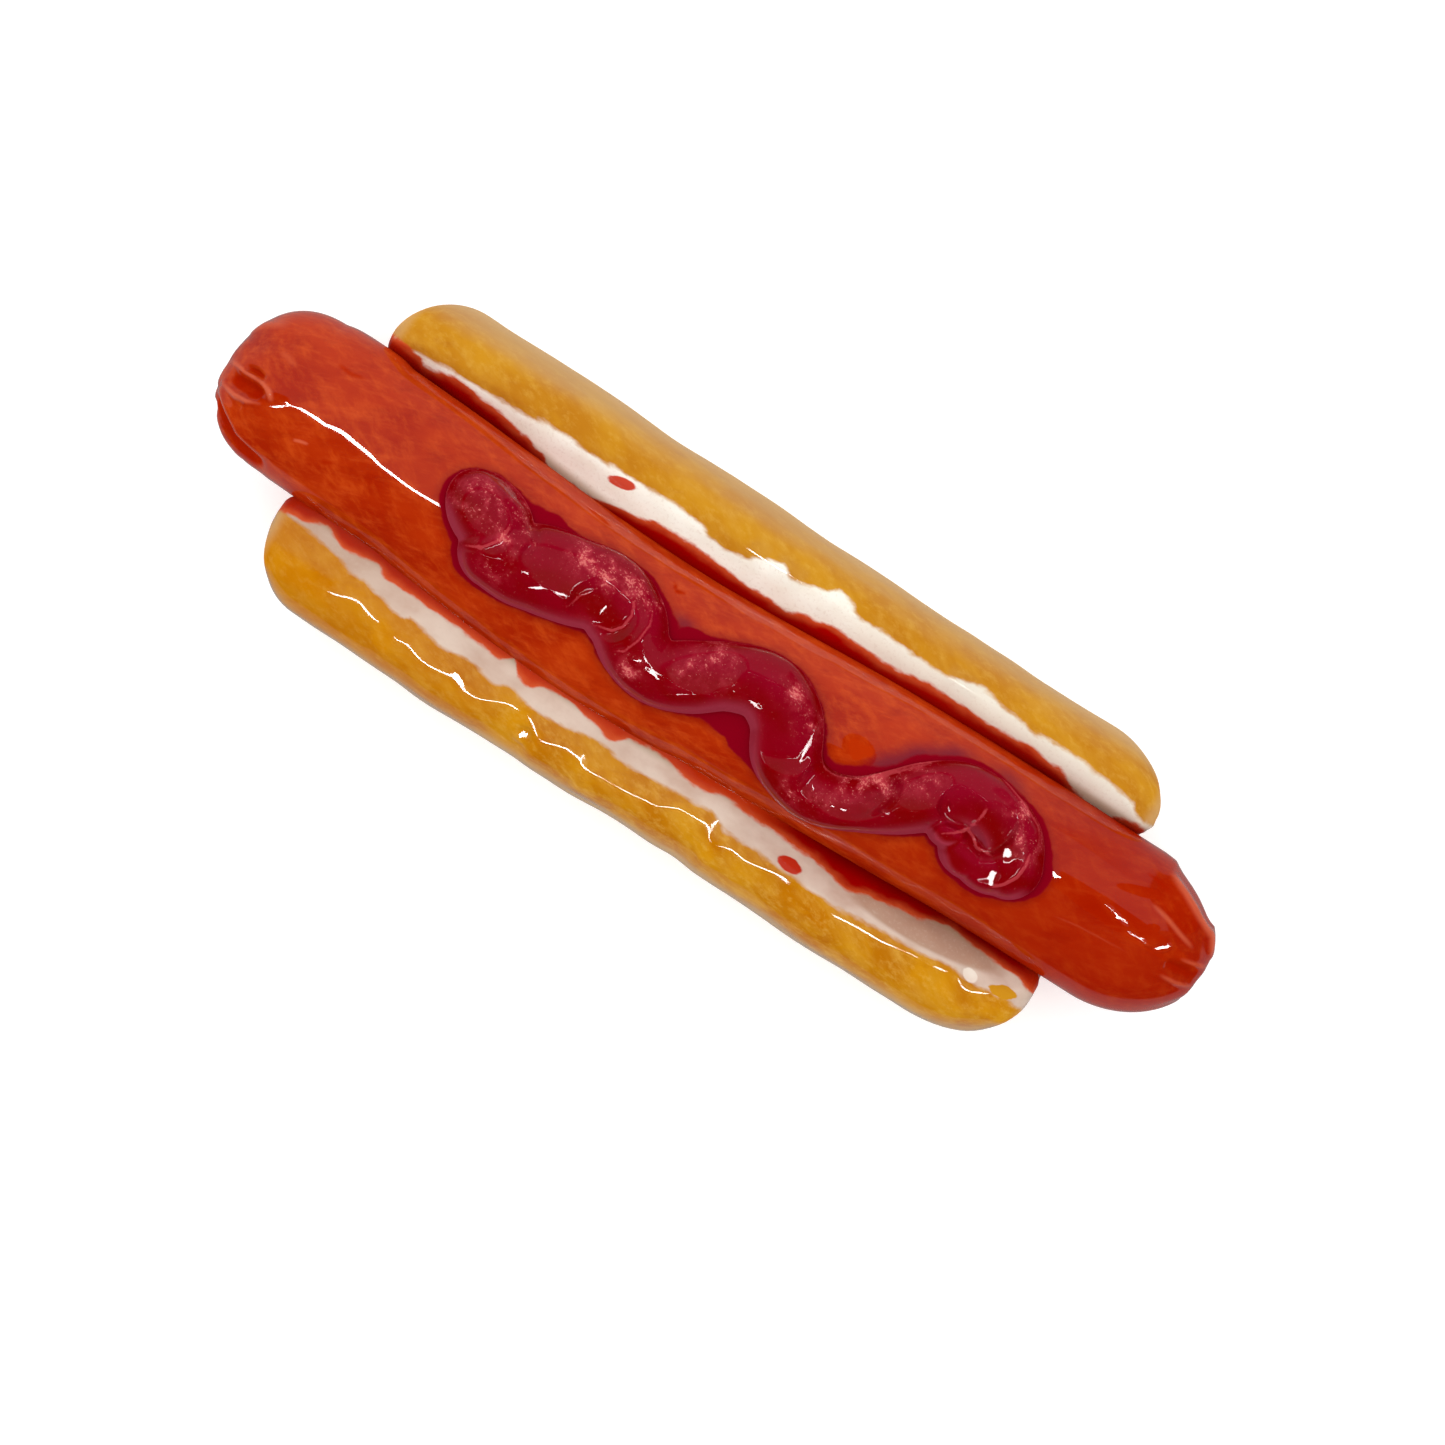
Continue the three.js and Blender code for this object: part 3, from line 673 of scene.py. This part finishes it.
ochre = layered(
    washes.blend(srgb(184, 110, 3), srgb(203, 138, 16)),
    (streaks, 0.5, 216, 162, 60),
    (dark_dabs, 0.6, 168, 86, 1),
    (mottles, 0.4, 222, 174, 76),
    (at_y.rise(12 * mm, 16 * mm), 0.3, 186, 136, 50),
    (upper_rim, 0.75, 190, 156, 112),
    (lower_left, 0.45, 190, 112, 2),
    (buff_mask.maths("MAXIMUM", buff_mask, end_rim), 0.9, 204, 162, 108),
)
cream_noise = paint.noise(4 * mm, stretch=1.5, offset=9).rise(0.3, 0.8)
upper_cream = layered(
    cream_noise.blend(srgb(251, 250, 238), srgb(242, 237, 221)),
    (at_x.rise(-10 * mm, 40 * mm), 0.6, 220, 208, 190),
)
lower_cream = layered(
    cream_noise.blend(srgb(219, 199, 182), srgb(199, 169, 150)),
    (1 - at_x.rise(-62 * mm, -38 * mm), 0.6, 180, 146, 124),
    # painted shade over the hollowed facet of the front white face
    (paint.field("painted_shade").rise(0, 0.25), 0.8, 176, 137, 112),
)
grain = paint.noise(0.5 * mm, offset=51, detail=2).rise(0.5, 0.8)
cream = layered(upper_half.blend(lower_cream, upper_cream), (grain, 0.3, 206, 186, 166))
red_depth = paint.field("stain_depth")
inner_red = red_depth.blend(srgb(196, 60, 18), srgb(164, 0, 0))
red = layered(
    inside_stain.rise(0, 1.6).blend(srgb(206, 84, 42), inner_red),
    ((1 - red_depth) * streaks, 0.4, 214, 96, 50),
)
# painted shade in the joint next to the sausage, where clear glaze also pools: the red darkens there
joint_shade = 1 - paint.field("off_sausage").rise(0.5, 2.2)
red = (joint_shade * 0.6).blend(red, red_depth.blend(srgb(188, 42, 4), srgb(132, 0, 0)))
bun_colour = layered(
    crust_mask.blend(cream, ochre),
    (ochre_spot, 1, 200, 140, 30),
    # painted shade: the white turns olive grey in the joint
    (joint_shade, 0.7, 164, 142, 108),
)
bun_colour = stain_mask.blend(bun_colour, red)
bun_colour = red_spot.blend(bun_colour, upper_half.blend(srgb(190, 44, 20), srgb(204, 72, 50)))
bun_colour = layered(bun_colour, (white_spot, 1, 240, 228, 212))
bun_colour.feed(shader.inputs["Base Color"])
glossy = paint.field("glossy") * (1 - stain_mask * 0.6) * (1 - ochre_spot)
glossy.feed(shader.inputs["Coat Weight"])

bm = bmesh.new()
quarter_steps = 80
bun_rings = 260
bmesh.ops.create_cone(bm, cap_ends=False, segments=4 * quarter_steps, radius1=1, radius2=1, depth=2)
lengthwise = [edge for edge in bm.edges if abs(edge.verts[0].co.z - edge.verts[1].co.z) > 1]
bmesh.ops.subdivide_edges(bm, edges=lengthwise, cuts=bun_rings)
skin_side = {}
for vert in bm.verts:
    turn = math.atan2(vert.co.y, vert.co.x) / (2 * math.pi) % 1 * 4
    quarter = int(turn + 1e-6) % 4
    part = turn - int(turn + 1e-6)
    inside = quarter in (0, 3)
    side = 1 if quarter < 2 else -1
    share = 1 - part if quarter in (0, 2) else part
    seam_fade = ease(1 - abs(vert.co.z), 0, end_rings / 4)
    vert.co = bun_point(vert.co.z, share, inside, side)
    fade = (face_share * 0.6, face_share) if inside else (shoulder_share, 0.75)
    skin_side[vert] = (1 - ease(share, *fade)) * seam_fade
bmesh.ops.recalc_face_normals(bm, faces=bm.faces)
bm.normal_update()
crust_waves = [(15 * mm, 0.5 * mm, 1.3), (5 * mm, 0.18 * mm, 1.5)]
for vert in bm.verts:
    lift = skin_noise(vert.co, crust_waves, seed=5)
    for x, y, reach, lump_height in lumps:
        away = math.hypot(vert.co.x / mm - x, vert.co.y / mm - y)
        if away < 3 * reach:
            lift += lump_height * mm * bump(away, reach)
    vert.co += vert.normal * lift * skin_side[vert]
bmesh.ops.remove_doubles(bm, verts=bm.verts, dist=0.01 * mm)
bmesh.ops.recalc_face_normals(bm, faces=bm.faces)
bm.normal_update()
lay_flats(bm, crust_flats)
bun = add_piece(bm, "bun_roll", "bun", material)

rows = []
for vert in bun.data.vertices:
    x, y = vert.co.x / mm, vert.co.y / mm
    side = 1 if y > 0 else -1
    from_axis = math.hypot(vert.co.y - centreline(vert.co.x), vert.co.z - sausage_height)
    beyond = abs(vert.co.y) - crest_y(vert.co.x, side) - crest_shift[side]
    sheen, sheen_reach = crust_sheen[side]
    at_crest = in_run(x, glossy_runs[side]) * (1 - ease(abs(beyond), 1.5 * mm, 3 * mm))
    off_crest = sheen * ease(beyond, 1.5 * mm, sheen_reach) + ease(-beyond, 1.5 * mm, 2.5 * mm)
    at_flat = ease(in_spot(vert.co, crust_flats), -0.3, 0.1)
    rows.append({
        "past_crust_edge": abs(y) - along_line(crust_edge[side], x),
        "inside_stain": along_line(stain_edge[side], x) - abs(y),
        "stain_depth": along_line(stain_depth[side], x),
        "off_sausage": (from_axis - body_radius(vert.co.x)) / mm,
        "glossy": max(off_crest, at_crest, at_flat),
        "painted_shade": in_spot(vert.co, painted_shade_places),
        "in_red_spot": in_spot(vert.co, red_spots),
        "in_ochre_spot": in_spot(vert.co, ochre_spots),
        "in_white_spot": in_spot(vert.co, white_spots),
    })
add_fields(bun, rows)


# ---- Ketchup ---------------------------------------------------------------------------------------------
# A soft rope of clay laid along the sausage in waves, with a round dollop at its start and a hook at its end.
# It was pressed down with a fingertip, which left hollows with thin ridges between them. The raspberry glaze
# has run out over the sausage around it.

ketchup_rise = 4.7 * mm
ketchup_sink = 0.6 * mm
# x, y, half length, half width and heading of each dollop
dollops = [(-41.1, 1.5, 8.1, 5.8, -18), (52.0, -2.3, 5.5, 3.9, 20), (47.4, -2.6, 4.5, 3.5, -10),
           (43.4, -0.9, 3.4, 2.6, 20)]
# x, y and half width of the rope
rope_route = [
    (-37.6, -2.7, 5.6), (-33.7, -2.2, 6.3), (-30.0, -1.0, 6.7), (-25.0, 0.2, 6.7), (-19.7, 1.4, 6.4),
    (-15.1, -0.5, 6.1), (-11.4, -3.5, 5.5), (-7.1, -4.7, 5.2), (-2.3, -2.6, 5.5), (2.8, 0.7, 5.2),
    (8.4, 2.4, 5.5), (13.4, 0.0, 5.6), (16.6, -4.6, 5.6), (20.7, -6.9, 5.0), (25.1, -6.9, 4.6),
    (29.8, -4.9, 4.4), (34.3, -1.5, 5.0), (38.1, 1.8, 5.3), (42.7, 4.7, 5.3), (47.7, 4.9, 5.1),
    (52.0, 3.0, 4.9), (54.1, -0.3, 5.0),
]
# x, y, half length, half breadth (in millimetres) and heading of each hollow that a finger pressed, its depth
# at the middle, and how much it rises towards +X and towards +Y
ketchup_presses = [
    (-40.8, 0.6, 4.4, 3.3, -35, 0.7, 0.05, -0.04), (-28.4, 1.6, 5.0, 4.2, -30, 0.5, -0.03, -0.08),
    (-18.8, -0.6, 4.0, 4.0, 0, 0.9, 0.06, 0.20),
    (-3.2, -1.3, 6.0, 4.2, 32, 0.6, -0.05, -0.12), (10.6, -1.2, 7.6, 4.6, -12, 0.7, -0.03, 0.17),
    (26.8, -3.8, 5.6, 3.6, 38, 0.6, -0.03, -0.12), (42.9, 3.4, 2.9, 2.7, 0, 0.8, 0.0, 0.25),
    (48.3, 3.5, 2.6, 3.6, 0, 0.8, -0.12, 0.14), (47.4, -2.8, 4.6, 2.6, 0, 0.8, 0.06, 0.20),
    (34.5, 1.0, 5.0, 3.0, 50, 0.4, -0.02, -0.18),
]
press_softness = 0.03 * mm
press_rim = 0.4 * mm
press_fade = 1.7
press_facing = 0.2
edge_reach = 0.12 * mm
# the spots where its glaze lies flat, in the form of the sausage's
ketchup_flats = [
    (-34.3, -4.9, 0.9, 0.2, 15), (-31.5, -2.8, 0.6, 0.35, 20),
    (-28.8, -3.8, 1.6, 0.45, 27), (-25.3, -2.6, 1.3, 0.4, 12), (-22.1, -0.5, 0.8, 0.28, 45),
    (-20.2, 0.8, 0.5, 0.28, 10), (-18.7, -1.1, 1.0, 0.35, 95), (-10.6, -5.0, 0.9, 0.3, 5),
    (-7.1, -5.2, 1.4, 0.35, -18), (-1.9, -5.5, 2.2, 0.3, 31), (4.4, -0.8, 0.5, 0.28, 0),
    (8.2, -0.8, 1.1, 0.4, -15), (18.3, -1.9, 2.9, 0.35, 98), (17.3, -5.9, 0.45, 0.3, 35),
    (22.4, -6.6, 0.8, 0.25, -50), (27.3, -7.1, 1.3, 0.25, 5), (33.7, -3.8, 0.8, 0.3, 8),
    (41.4, 1.8, 0.8, 0.3, -50), (44.7, 0.5, 0.7, 0.25, 30), (47.6, -0.2, 1.0, 0.35, -35),
    (49.5, -0.5, 0.9, 0.3, 15), (52.1, 1.1, 1.0, 0.6, -45), (52.4, -3.5, 1.3, 0.5, -65),
]
# the ovals where its glaze is dull
ketchup_dull_places = [
    (-33.5, -2.7, 3.6, 1.0, 0), (-16.6, -2.2, 2.8, 0.65, 45), (-10.6, -3.2, 1.7, 0.6, -45),
    (-13.0, -3.2, 0.6, 1.1, 0), (-17.0, -4.0, 0.9, 0.5, 0), (4.6, 1.2, 0.7, 2.0, 0),
    (15.3, -5.2, 3.2, 0.7, 25), (50.4, 2.2, 0.7, 2.2, -15), (54.4, 0.6, 1.0, 0.9, 30),
    (-10.6, 1.8, 1.6, 3.6, 30),
]
# folds of the ketchup, in the form of the sausage's
ketchup_folds = [
    (-0.8, 0.9, [(-45.8, 7.4), (-36.2, 6.3), (-32.8, 2.0), (-33.5, -2.3)]),
    (0.18, 0.3, [(-37.0, 2.6), (-37.4, -0.7), (-39.1, -3.2), (-42.7, -4.8)]),
    (0.2, 0.28, [(-15.8, 3.4), (-14.6, 0.4), (-14.8, -1.7), (-15.9, -3.1), (-19.5, -4.0)]),
    (0.16, 0.28, [(-12.8, 4.0), (-11.5, 0.7), (-11.7, -2.2), (-12.6, -4.7), (-14.9, -6.0)]),
    (0.14, 0.28, [(-21.3, 0.6), (-22.8, -1.3), (-23.6, -4.2)]),
    (0.14, 0.3, [(22.0, -3.2), (26.3, -2.0), (30.2, 0.5), (34.1, 4.8), (36.8, 7.5)]),
    (0.14, 0.3, [(40.3, 9.7), (45.7, 10.3), (51.3, 8.4), (54.3, 6.9), (56.3, 4.3)]),
    (0.2, 0.28, [(41.1, -2.8), (43.9, -0.8), (45.4, 0.8), (46.6, 0.4), (48.1, -0.8), (51.2, -0.4)]),
    (0.14, 0.28, [(46.3, 6.1), (45.9, 2.8), (45.4, 0.4)]),
    (0.25, 0.3, [(55.0, 3.4), (55.6, 1.0), (55.4, -1.3), (54.4, -3.2), (52.7, -5.0)]),
    (-0.4, 0.35, [(34.2, 5.7), (34.6, 5.7), (35.0, 5.8)]),
    (-0.4, 0.35, [(39.6, -1.9), (40.0, -1.9), (40.4, -1.8)]),
]
# the lip round its foot: its height over the sausage, how far it spreads up and down, and how far it juts
lip_height = 1.0 * mm
lip_spread = 0.35 * mm
lip_push = 0.2 * mm
# how far its foot lies inside the sausage's skin, and how high over it the folds and waves begin
foot_depth = 0.25 * mm
wave_start = 0.3 * mm
# how thin the glaze is on the lip and on the edges between hollows, and the ridge that bares it
lip_thinness = 0.8
edge_thinness = 0.45
bare_ridge = 0.16 * mm
# x, y, reach and extra run of the glaze over the sausage around it
glaze_runs = [
    (59, 1.0, 5, 1.3), (42, 11, 6, 0.8), (7.6, -7.0, 3.8, 3.4), (-42, -7.5, 6, 0.9), (-33.5, 7.0, 3, 2.2),
    (-49, 0.5, 3, 0.5), (-6.3, 3.6, 3, 1.6), (26, 0.5, 3.5, 1.0), (50, -8, 6, 0.5), (33, 7, 3, 0.8),
    (-14, 8, 5, 0.5), (55, 7, 4, 0.6),
]
glaze_run = 0.4
# x, y and reach of the places where the run is a thin purple film, and of those it has left bare
thinned_runs = [(33.0, 6.0, 3.5), (37.5, 10.0, 3.0), (29.5, 2.5, 2.4), (-7.5, 4.0, 1.8), (48.0, 12.5, 3.0)]
bare_places = [(24.2, 2.3, 1.2), (26.6, 2.6, 1.2), (25.4, 1.0, 0.8)]
# x, y and reach of the places where the glaze has broken into pale specks
speckled_places = [
    (-44.0, 2.6, 3.5), (-39.5, 3.0, 3.5), (-35.5, 0.8, 2.5), (-25.0, 4.6, 3), (-21.5, 3.6, 3),
    (-16.8, 5.0, 2.5), (-13.0, 3.8, 2), (-10.5, -6.6, 2), (-36.0, -4.5, 2), (0.2, 1.6, 3), (-3.0, -2.2, 2),
    (12.0, 4.0, 2), (16.6, 1.2, 2), (30.5, -0.6, 3), (27.0, -3.4, 2), (36.0, 4.0, 2.5), (51.0, 7.0, 2.5),
    (54.0, 4.0, 2.5), (20.0, -8.6, 2), (24.0, -8.4, 2),
]


def skin_place(x, y):
    """The point just under the sausage's skin at x, y, and the way out of the skin there."""
    lean = math.asin((y - centreline(x)) / body_radius(x))
    out = Vector((0, math.sin(lean), math.cos(lean)))
    return Vector((x, centreline(x), sausage_height)) + out * (body_radius(x) - ketchup_sink), out


def route_at(t):
    """The rope's place, direction and half width at t from 0 to 1, on a smooth curve through its route."""
    spans = len(rope_route) - 1
    index = min(int(t * spans), spans - 1)
    u = t * spans - index
    before, here, after, beyond = (
        Vector(rope_route[max(0, min(spans, index + step))]) * mm for step in (-1, 0, 1, 2))
    start = (after - before) / 2
    stop = (beyond - here) / 2
    place = ((2 * u ** 3 - 3 * u ** 2 + 1) * here + (u ** 3 - 2 * u ** 2 + u) * start
             + (3 * u ** 2 - 2 * u ** 3) * after + (u ** 3 - u ** 2) * stop)
    ahead = ((6 * u ** 2 - 6 * u) * here + (3 * u ** 2 - 4 * u + 1) * start
             + (6 * u - 6 * u ** 2) * after + (3 * u ** 2 - 2 * u) * stop)
    return place, Vector((ahead.x, ahead.y, 0)).normalized(), place.z


def rope_point(along, turn):
    cap = 0.04
    t = (along - cap) / (1 - 2 * cap)
    roll = math.pi / 2 * max(0, min(1, along / cap, (1 - along) / cap))
    place, ahead, half = route_at(max(0, min(1, t)))
    beyond = math.cos(roll) * half * (-1 if t < 0.5 else 1)
    foot, out = skin_place(place.x + ahead.x * beyond, place.y + ahead.y * beyond)
    across = out.cross(ahead).normalized()
    turn = math.pi * turn
    swing = across * half * math.cos(turn) + out * (ketchup_rise + ketchup_sink) * math.sin(turn)
    return foot + swing * math.sin(roll)


def press_hollows(bm, presses):
    """Lowers the top to the hollows that a finger pressed into it, with soft edges between them. Returns for
    each point how near it lies to such an edge, from 0 to 1."""
    tree = BVHTree.FromBMesh(bm)
    floors = []
    for x, y, half_length, half_breadth, heading, depth, rise_x, rise_y in presses:
        top = tree.ray_cast(Vector((x, y, 100)) * mm, Vector((0, 0, -1)))[0].z
        floors.append(top - depth * mm - rise_x * x * mm - rise_y * y * mm)
    edges = []
    for vert in bm.verts:
        heights = [vert.co.z]
        if vert.normal.z > press_facing:
            for (*oval, depth, rise_x, rise_y), floor in zip(presses, floors):
                fade = ease(oval_distance(vert.co, *oval), 1, press_fade)
                if fade < 1:
                    flat = floor + rise_x * vert.co.x + rise_y * vert.co.y
                    heights.append(lerp(flat, vert.co.z, fade) + press_rim * fade)
        heights.sort()
        total = sum(math.exp((heights[0] - height) / press_softness) for height in heights)
        vert.co.z = heights[0] - press_softness * math.log(total)
        edges.append(bump(heights[1] - heights[0], edge_reach) if len(heights) > 1 else 0)
    return edges


material, paint, shader = glaze("ketchup_glaze", 0.045, 1.34)
specks = paint.noise(0.4 * mm, detail=4, roughness=0.7, offset=2)
haze = paint.noise(2.5 * mm, detail=3, roughness=0.6, offset=12).rise(0.4, 0.75)
blotches = paint.noise(5 * mm, stretch=1.5, offset=4).rise(0.35, 0.7)
speckled = paint.field("speckled")
thin_glaze = paint.field("thin_glaze")
thin = (thin_glaze + (specks - 0.5) * 0.9).rise(0.45, 1.0)
speck_mask = (speckled * haze * 0.2 + specks).rise(0.61, 0.7) * (speckled * 0.8 + 0.2)
raspberry = layered(
    blotches.blend(srgb(122, 0, 2), srgb(130, 0, 18)),
    # painted sheen: the raspberry is paler on the slopes facing +Y, as where the glaze mirrors the bright
    # screen
    (paint.field("painted_sheen_side"), 0.3, 152, 12, 50),
    (speckled * haze, 0.9, 186, 56, 70),
    (thin, 0.5, 196, 70, 78),
    (speck_mask, 0.7, 220, 120, 112),
    # painted sheen: a mauve band on the steep flanks facing -Y, in place of the reflections on the lip, whose
    # coat is taken off
    (paint.field("front_flank_sheen"), 0.6, 160, 58, 78),
)
raspberry.feed(shader.inputs["Base Color"])
glossy = 1 - (1 - paint.field("flat_spot")) * thin_glaze.rise(0.02, 0.35) * 0.95
glossy = glossy * (1 - paint.field("steep_flank")) * (1 - paint.field("dull"))
glossy.feed(shader.inputs["Coat Weight"])

bm = bmesh.new()
rolled_form(bm, 48, 260, rope_point)
for x, y, half_length, half_breadth, heading in dollops:
    foot, out = skin_place(x * mm, y * mm)
    lean = math.atan2(out.y, out.z)
    placing = (Matrix.Translation(foot) @ Matrix.Rotation(-lean, 4, "X")
               @ Matrix.Rotation(math.radians(heading), 4, "Z")
               @ Matrix.Diagonal((half_length * mm, half_breadth * mm, ketchup_rise + ketchup_sink, 1)))
    bmesh.ops.create_uvsphere(bm, u_segments=64, v_segments=40, radius=1, matrix=placing)
rough = add_mesh(bm, "ketchup_rough")
remesh = rough.modifiers.new("one_skin", "REMESH")
remesh.mode = "VOXEL"
remesh.voxel_size = 0.255 * mm
bpy.context.view_layer.update()
joined = bpy.data.meshes.new_from_object(rough.evaluated_get(bpy.context.evaluated_depsgraph_get()))
bpy.data.objects.remove(rough)

bm = bmesh.new()
bm.from_mesh(joined)
for _ in range(4):
    smooth(bm)
edges = press_hollows(bm, ketchup_presses)
ketchup_waves = [(5 * mm, 0.16 * mm, 1), (1.8 * mm, 0.04 * mm, 1)]
ridges = [fold for fold in ketchup_folds if fold[0] > 0]
rows = []
for vert, edge in zip(bm.verts, edges):
    axis = Vector((vert.co.x, centreline(vert.co.x), sausage_height))
    out = (vert.co - axis).normalized()
    high = (vert.co - axis).length - body_radius(vert.co.x)
    steep = 1 - ease(vert.normal.dot(out), 0.75, 0.95)
    flank = 1 - ease(vert.normal.dot(out), 0.6, 0.92)
    lip = lip_thinness * bump(high - lip_height, lip_spread) * steep
    rows.append({
        "thin_glaze": lip + edge_thinness * edge + stroke_lift(vert.co, ridges) / bare_ridge,
        "steep_flank": flank,
        # the next two rows carry painted sheen: on the steep flanks facing -Y and on the slopes facing +Y
        "front_flank_sheen": flank * ease(-vert.normal.y, 0.2, 0.7),
        "painted_sheen_side": ease(vert.normal.y, -0.2, 0.3) * (1 - flank),
    })
    if high > wave_start:
        flare = vert.normal - out * vert.normal.dot(out)
        lift = stroke_lift(vert.co, ketchup_folds) * ease(high, 0.5 * mm, 2 * mm)
        lift += skin_noise(vert.co, ketchup_waves, seed=7) * ease(high, wave_start, 2 * mm)
        vert.co += flare * lip_push * bump(high - lip_height, lip_spread)
        high += lift
    bed = body_radius(vert.co.x) - foot_depth
    vert.co = axis + (vert.co - axis).normalized() * max(bed, body_radius(vert.co.x) + high)
smooth(bm)
lay_flats(bm, ketchup_flats)
bm.normal_update()
ketchup_tree = BVHTree.FromBMesh(bm)
ketchup = add_piece(bm, "ketchup_rope", "ketchup", material)


def near_places(place, places):
    """How near a point is to any of some places (x, y, reach), seen from above: 1 at the middle of one."""
    return min(1, sum(bump(math.hypot(place.x / mm - x, place.y / mm - y), reach) for x, y, reach in places))


for vert, row in zip(ketchup.data.vertices, rows):
    at_flat = ease(in_spot(vert.co, ketchup_flats), -0.3, 0)
    row["flat_spot"] = at_flat
    row["dull"] = ease(in_spot(vert.co, ketchup_dull_places), 0, 0.3) * (1 - at_flat)
    row["speckled"] = near_places(vert.co, speckled_places)
add_fields(ketchup, rows)

bright_spots = [
    (x, y, 1.4 * half_length, 2 * half_breadth, heading)
    for x, y, half_length, half_breadth, heading in glaze_flats]
run_search = 12 * mm
rows = []
for vert, tone in zip(sausage.data.vertices, tones):
    found = ketchup_tree.find_nearest(vert.co, run_search)
    away = found[3] if found[0] else run_search
    run = glaze_run + sum(
        extra * bump(math.hypot(vert.co.x / mm - x, vert.co.y / mm - y), reach)
        for x, y, reach, extra in glaze_runs)
    bright = ease(in_spot(vert.co, bright_spots), 0, 0.3)
    rows.append({
        "past_glaze_run": away / mm - run,
        "thinned_run": near_places(vert.co, thinned_runs),
        "bare_orange": near_places(vert.co, bare_places) * ease(away, 0.2 * mm, 1 * mm),
        "fold_glaze_and_shade": tone,
        "dull": ease(in_spot(vert.co, dull_places), 0, 0.3) * (1 - bright),
    })
add_fields(sausage, rows)


# ---- Floor, lights and camera ----------------------------------------------------------------------------
# A white table. The glaze mirrors a broad soft screen behind the piece, one long bright tube beside the
# camera and a dark room in front. The camera looks straight down.

bm = bmesh.new()
bmesh.ops.create_grid(bm, x_segments=1, y_segments=1, size=2.5)
floor = add_mesh(bm, "floor")
floor.visible_glossy = False
floor_paint = bpy.data.materials.new("table_white")
floor_paint.use_nodes = True
floor_shader = floor_paint.node_tree.nodes["Principled BSDF"]
floor_shader.inputs["Base Color"].default_value = (0.85, 0.85, 0.85, 1)
floor_shader.inputs["Roughness"].default_value = 0.8
floor_shader.inputs["Specular IOR Level"].default_value = 0
floor_shader.inputs["Emission Color"].default_value = (1, 1, 1, 1)
floor_shader.inputs["Emission Strength"].default_value = 0.38
floor.data.materials.append(floor_paint)


def add_light(name, place, size, radiance):
    """A rectangular light that shines straight down, of the given size along the picture's right and up."""
    light = bpy.data.lights.new(name, "AREA")
    light.shape = "RECTANGLE"
    light.size, light.size_y = size
    light.energy = radiance * size[0] * size[1] * math.pi
    holder = bpy.data.objects.new(name, light)
    holder.location = place
    holder.rotation_euler = (0, 0, camera_turn)
    holder.visible_camera = False
    bpy.context.scene.collection.objects.link(holder)
    return holder


tube = add_light("tube", tube_place, size=(1.5, 0.042), radiance=50)
tube.visible_diffuse = False
ceiling = add_light("ceiling", back * 0.5 + Vector((0, 0, 1.3)), size=(2.2, 2.2), radiance=1.1)
ceiling.visible_glossy = False

world = bpy.data.worlds.new("studio")
world.use_nodes = True
bpy.context.scene.world = world
sky = Paint(world.node_tree)
direction = sky.node("TexCoord", output="Generated")
to_right, to_back, upwards = (
    sky.node("VectorMath", {"operation": "DOT_PRODUCT"}, {0: direction, 1: axis}, output="Value")
    for axis in (right, back, Vector((0, 0, 1))))
behind = (to_back + upwards * tube_lean).rise(-0.01, 0.01)
screen_edge = (to_back * 0.9).maths("MAXIMUM", to_back * 0.9, upwards * 1.5) - to_right
screen = behind * screen_edge.rise(-0.05, 0.05)
table = 1 - (upwards - to_back * 0.13).rise(-0.32, -0.22)
room_glow = 0.02
screen_glow = 0.32
table_glow = 0.28
room_light = 0.72
mirrored = room_glow + screen * screen_glow * (1 - table) + table * table_glow
in_mirror = sky.node("LightPath", output="Is Glossy Ray")
strength = in_mirror * mirrored + (1 - in_mirror) * room_light
background = world.node_tree.nodes["Background"]
strength.feed(background.inputs["Strength"])
background.inputs["Color"].default_value = (1, 1, 1, 1)

camera_data = bpy.data.cameras.new("camera")
camera_data.lens = 70
camera = bpy.data.objects.new("camera", camera_data)
camera.location = camera_place
camera.rotation_euler = (0, 0, camera_turn)
bpy.context.scene.collection.objects.link(camera)
bpy.context.scene.camera = camera
bpy.context.scene.view_settings.view_transform = "Standard"
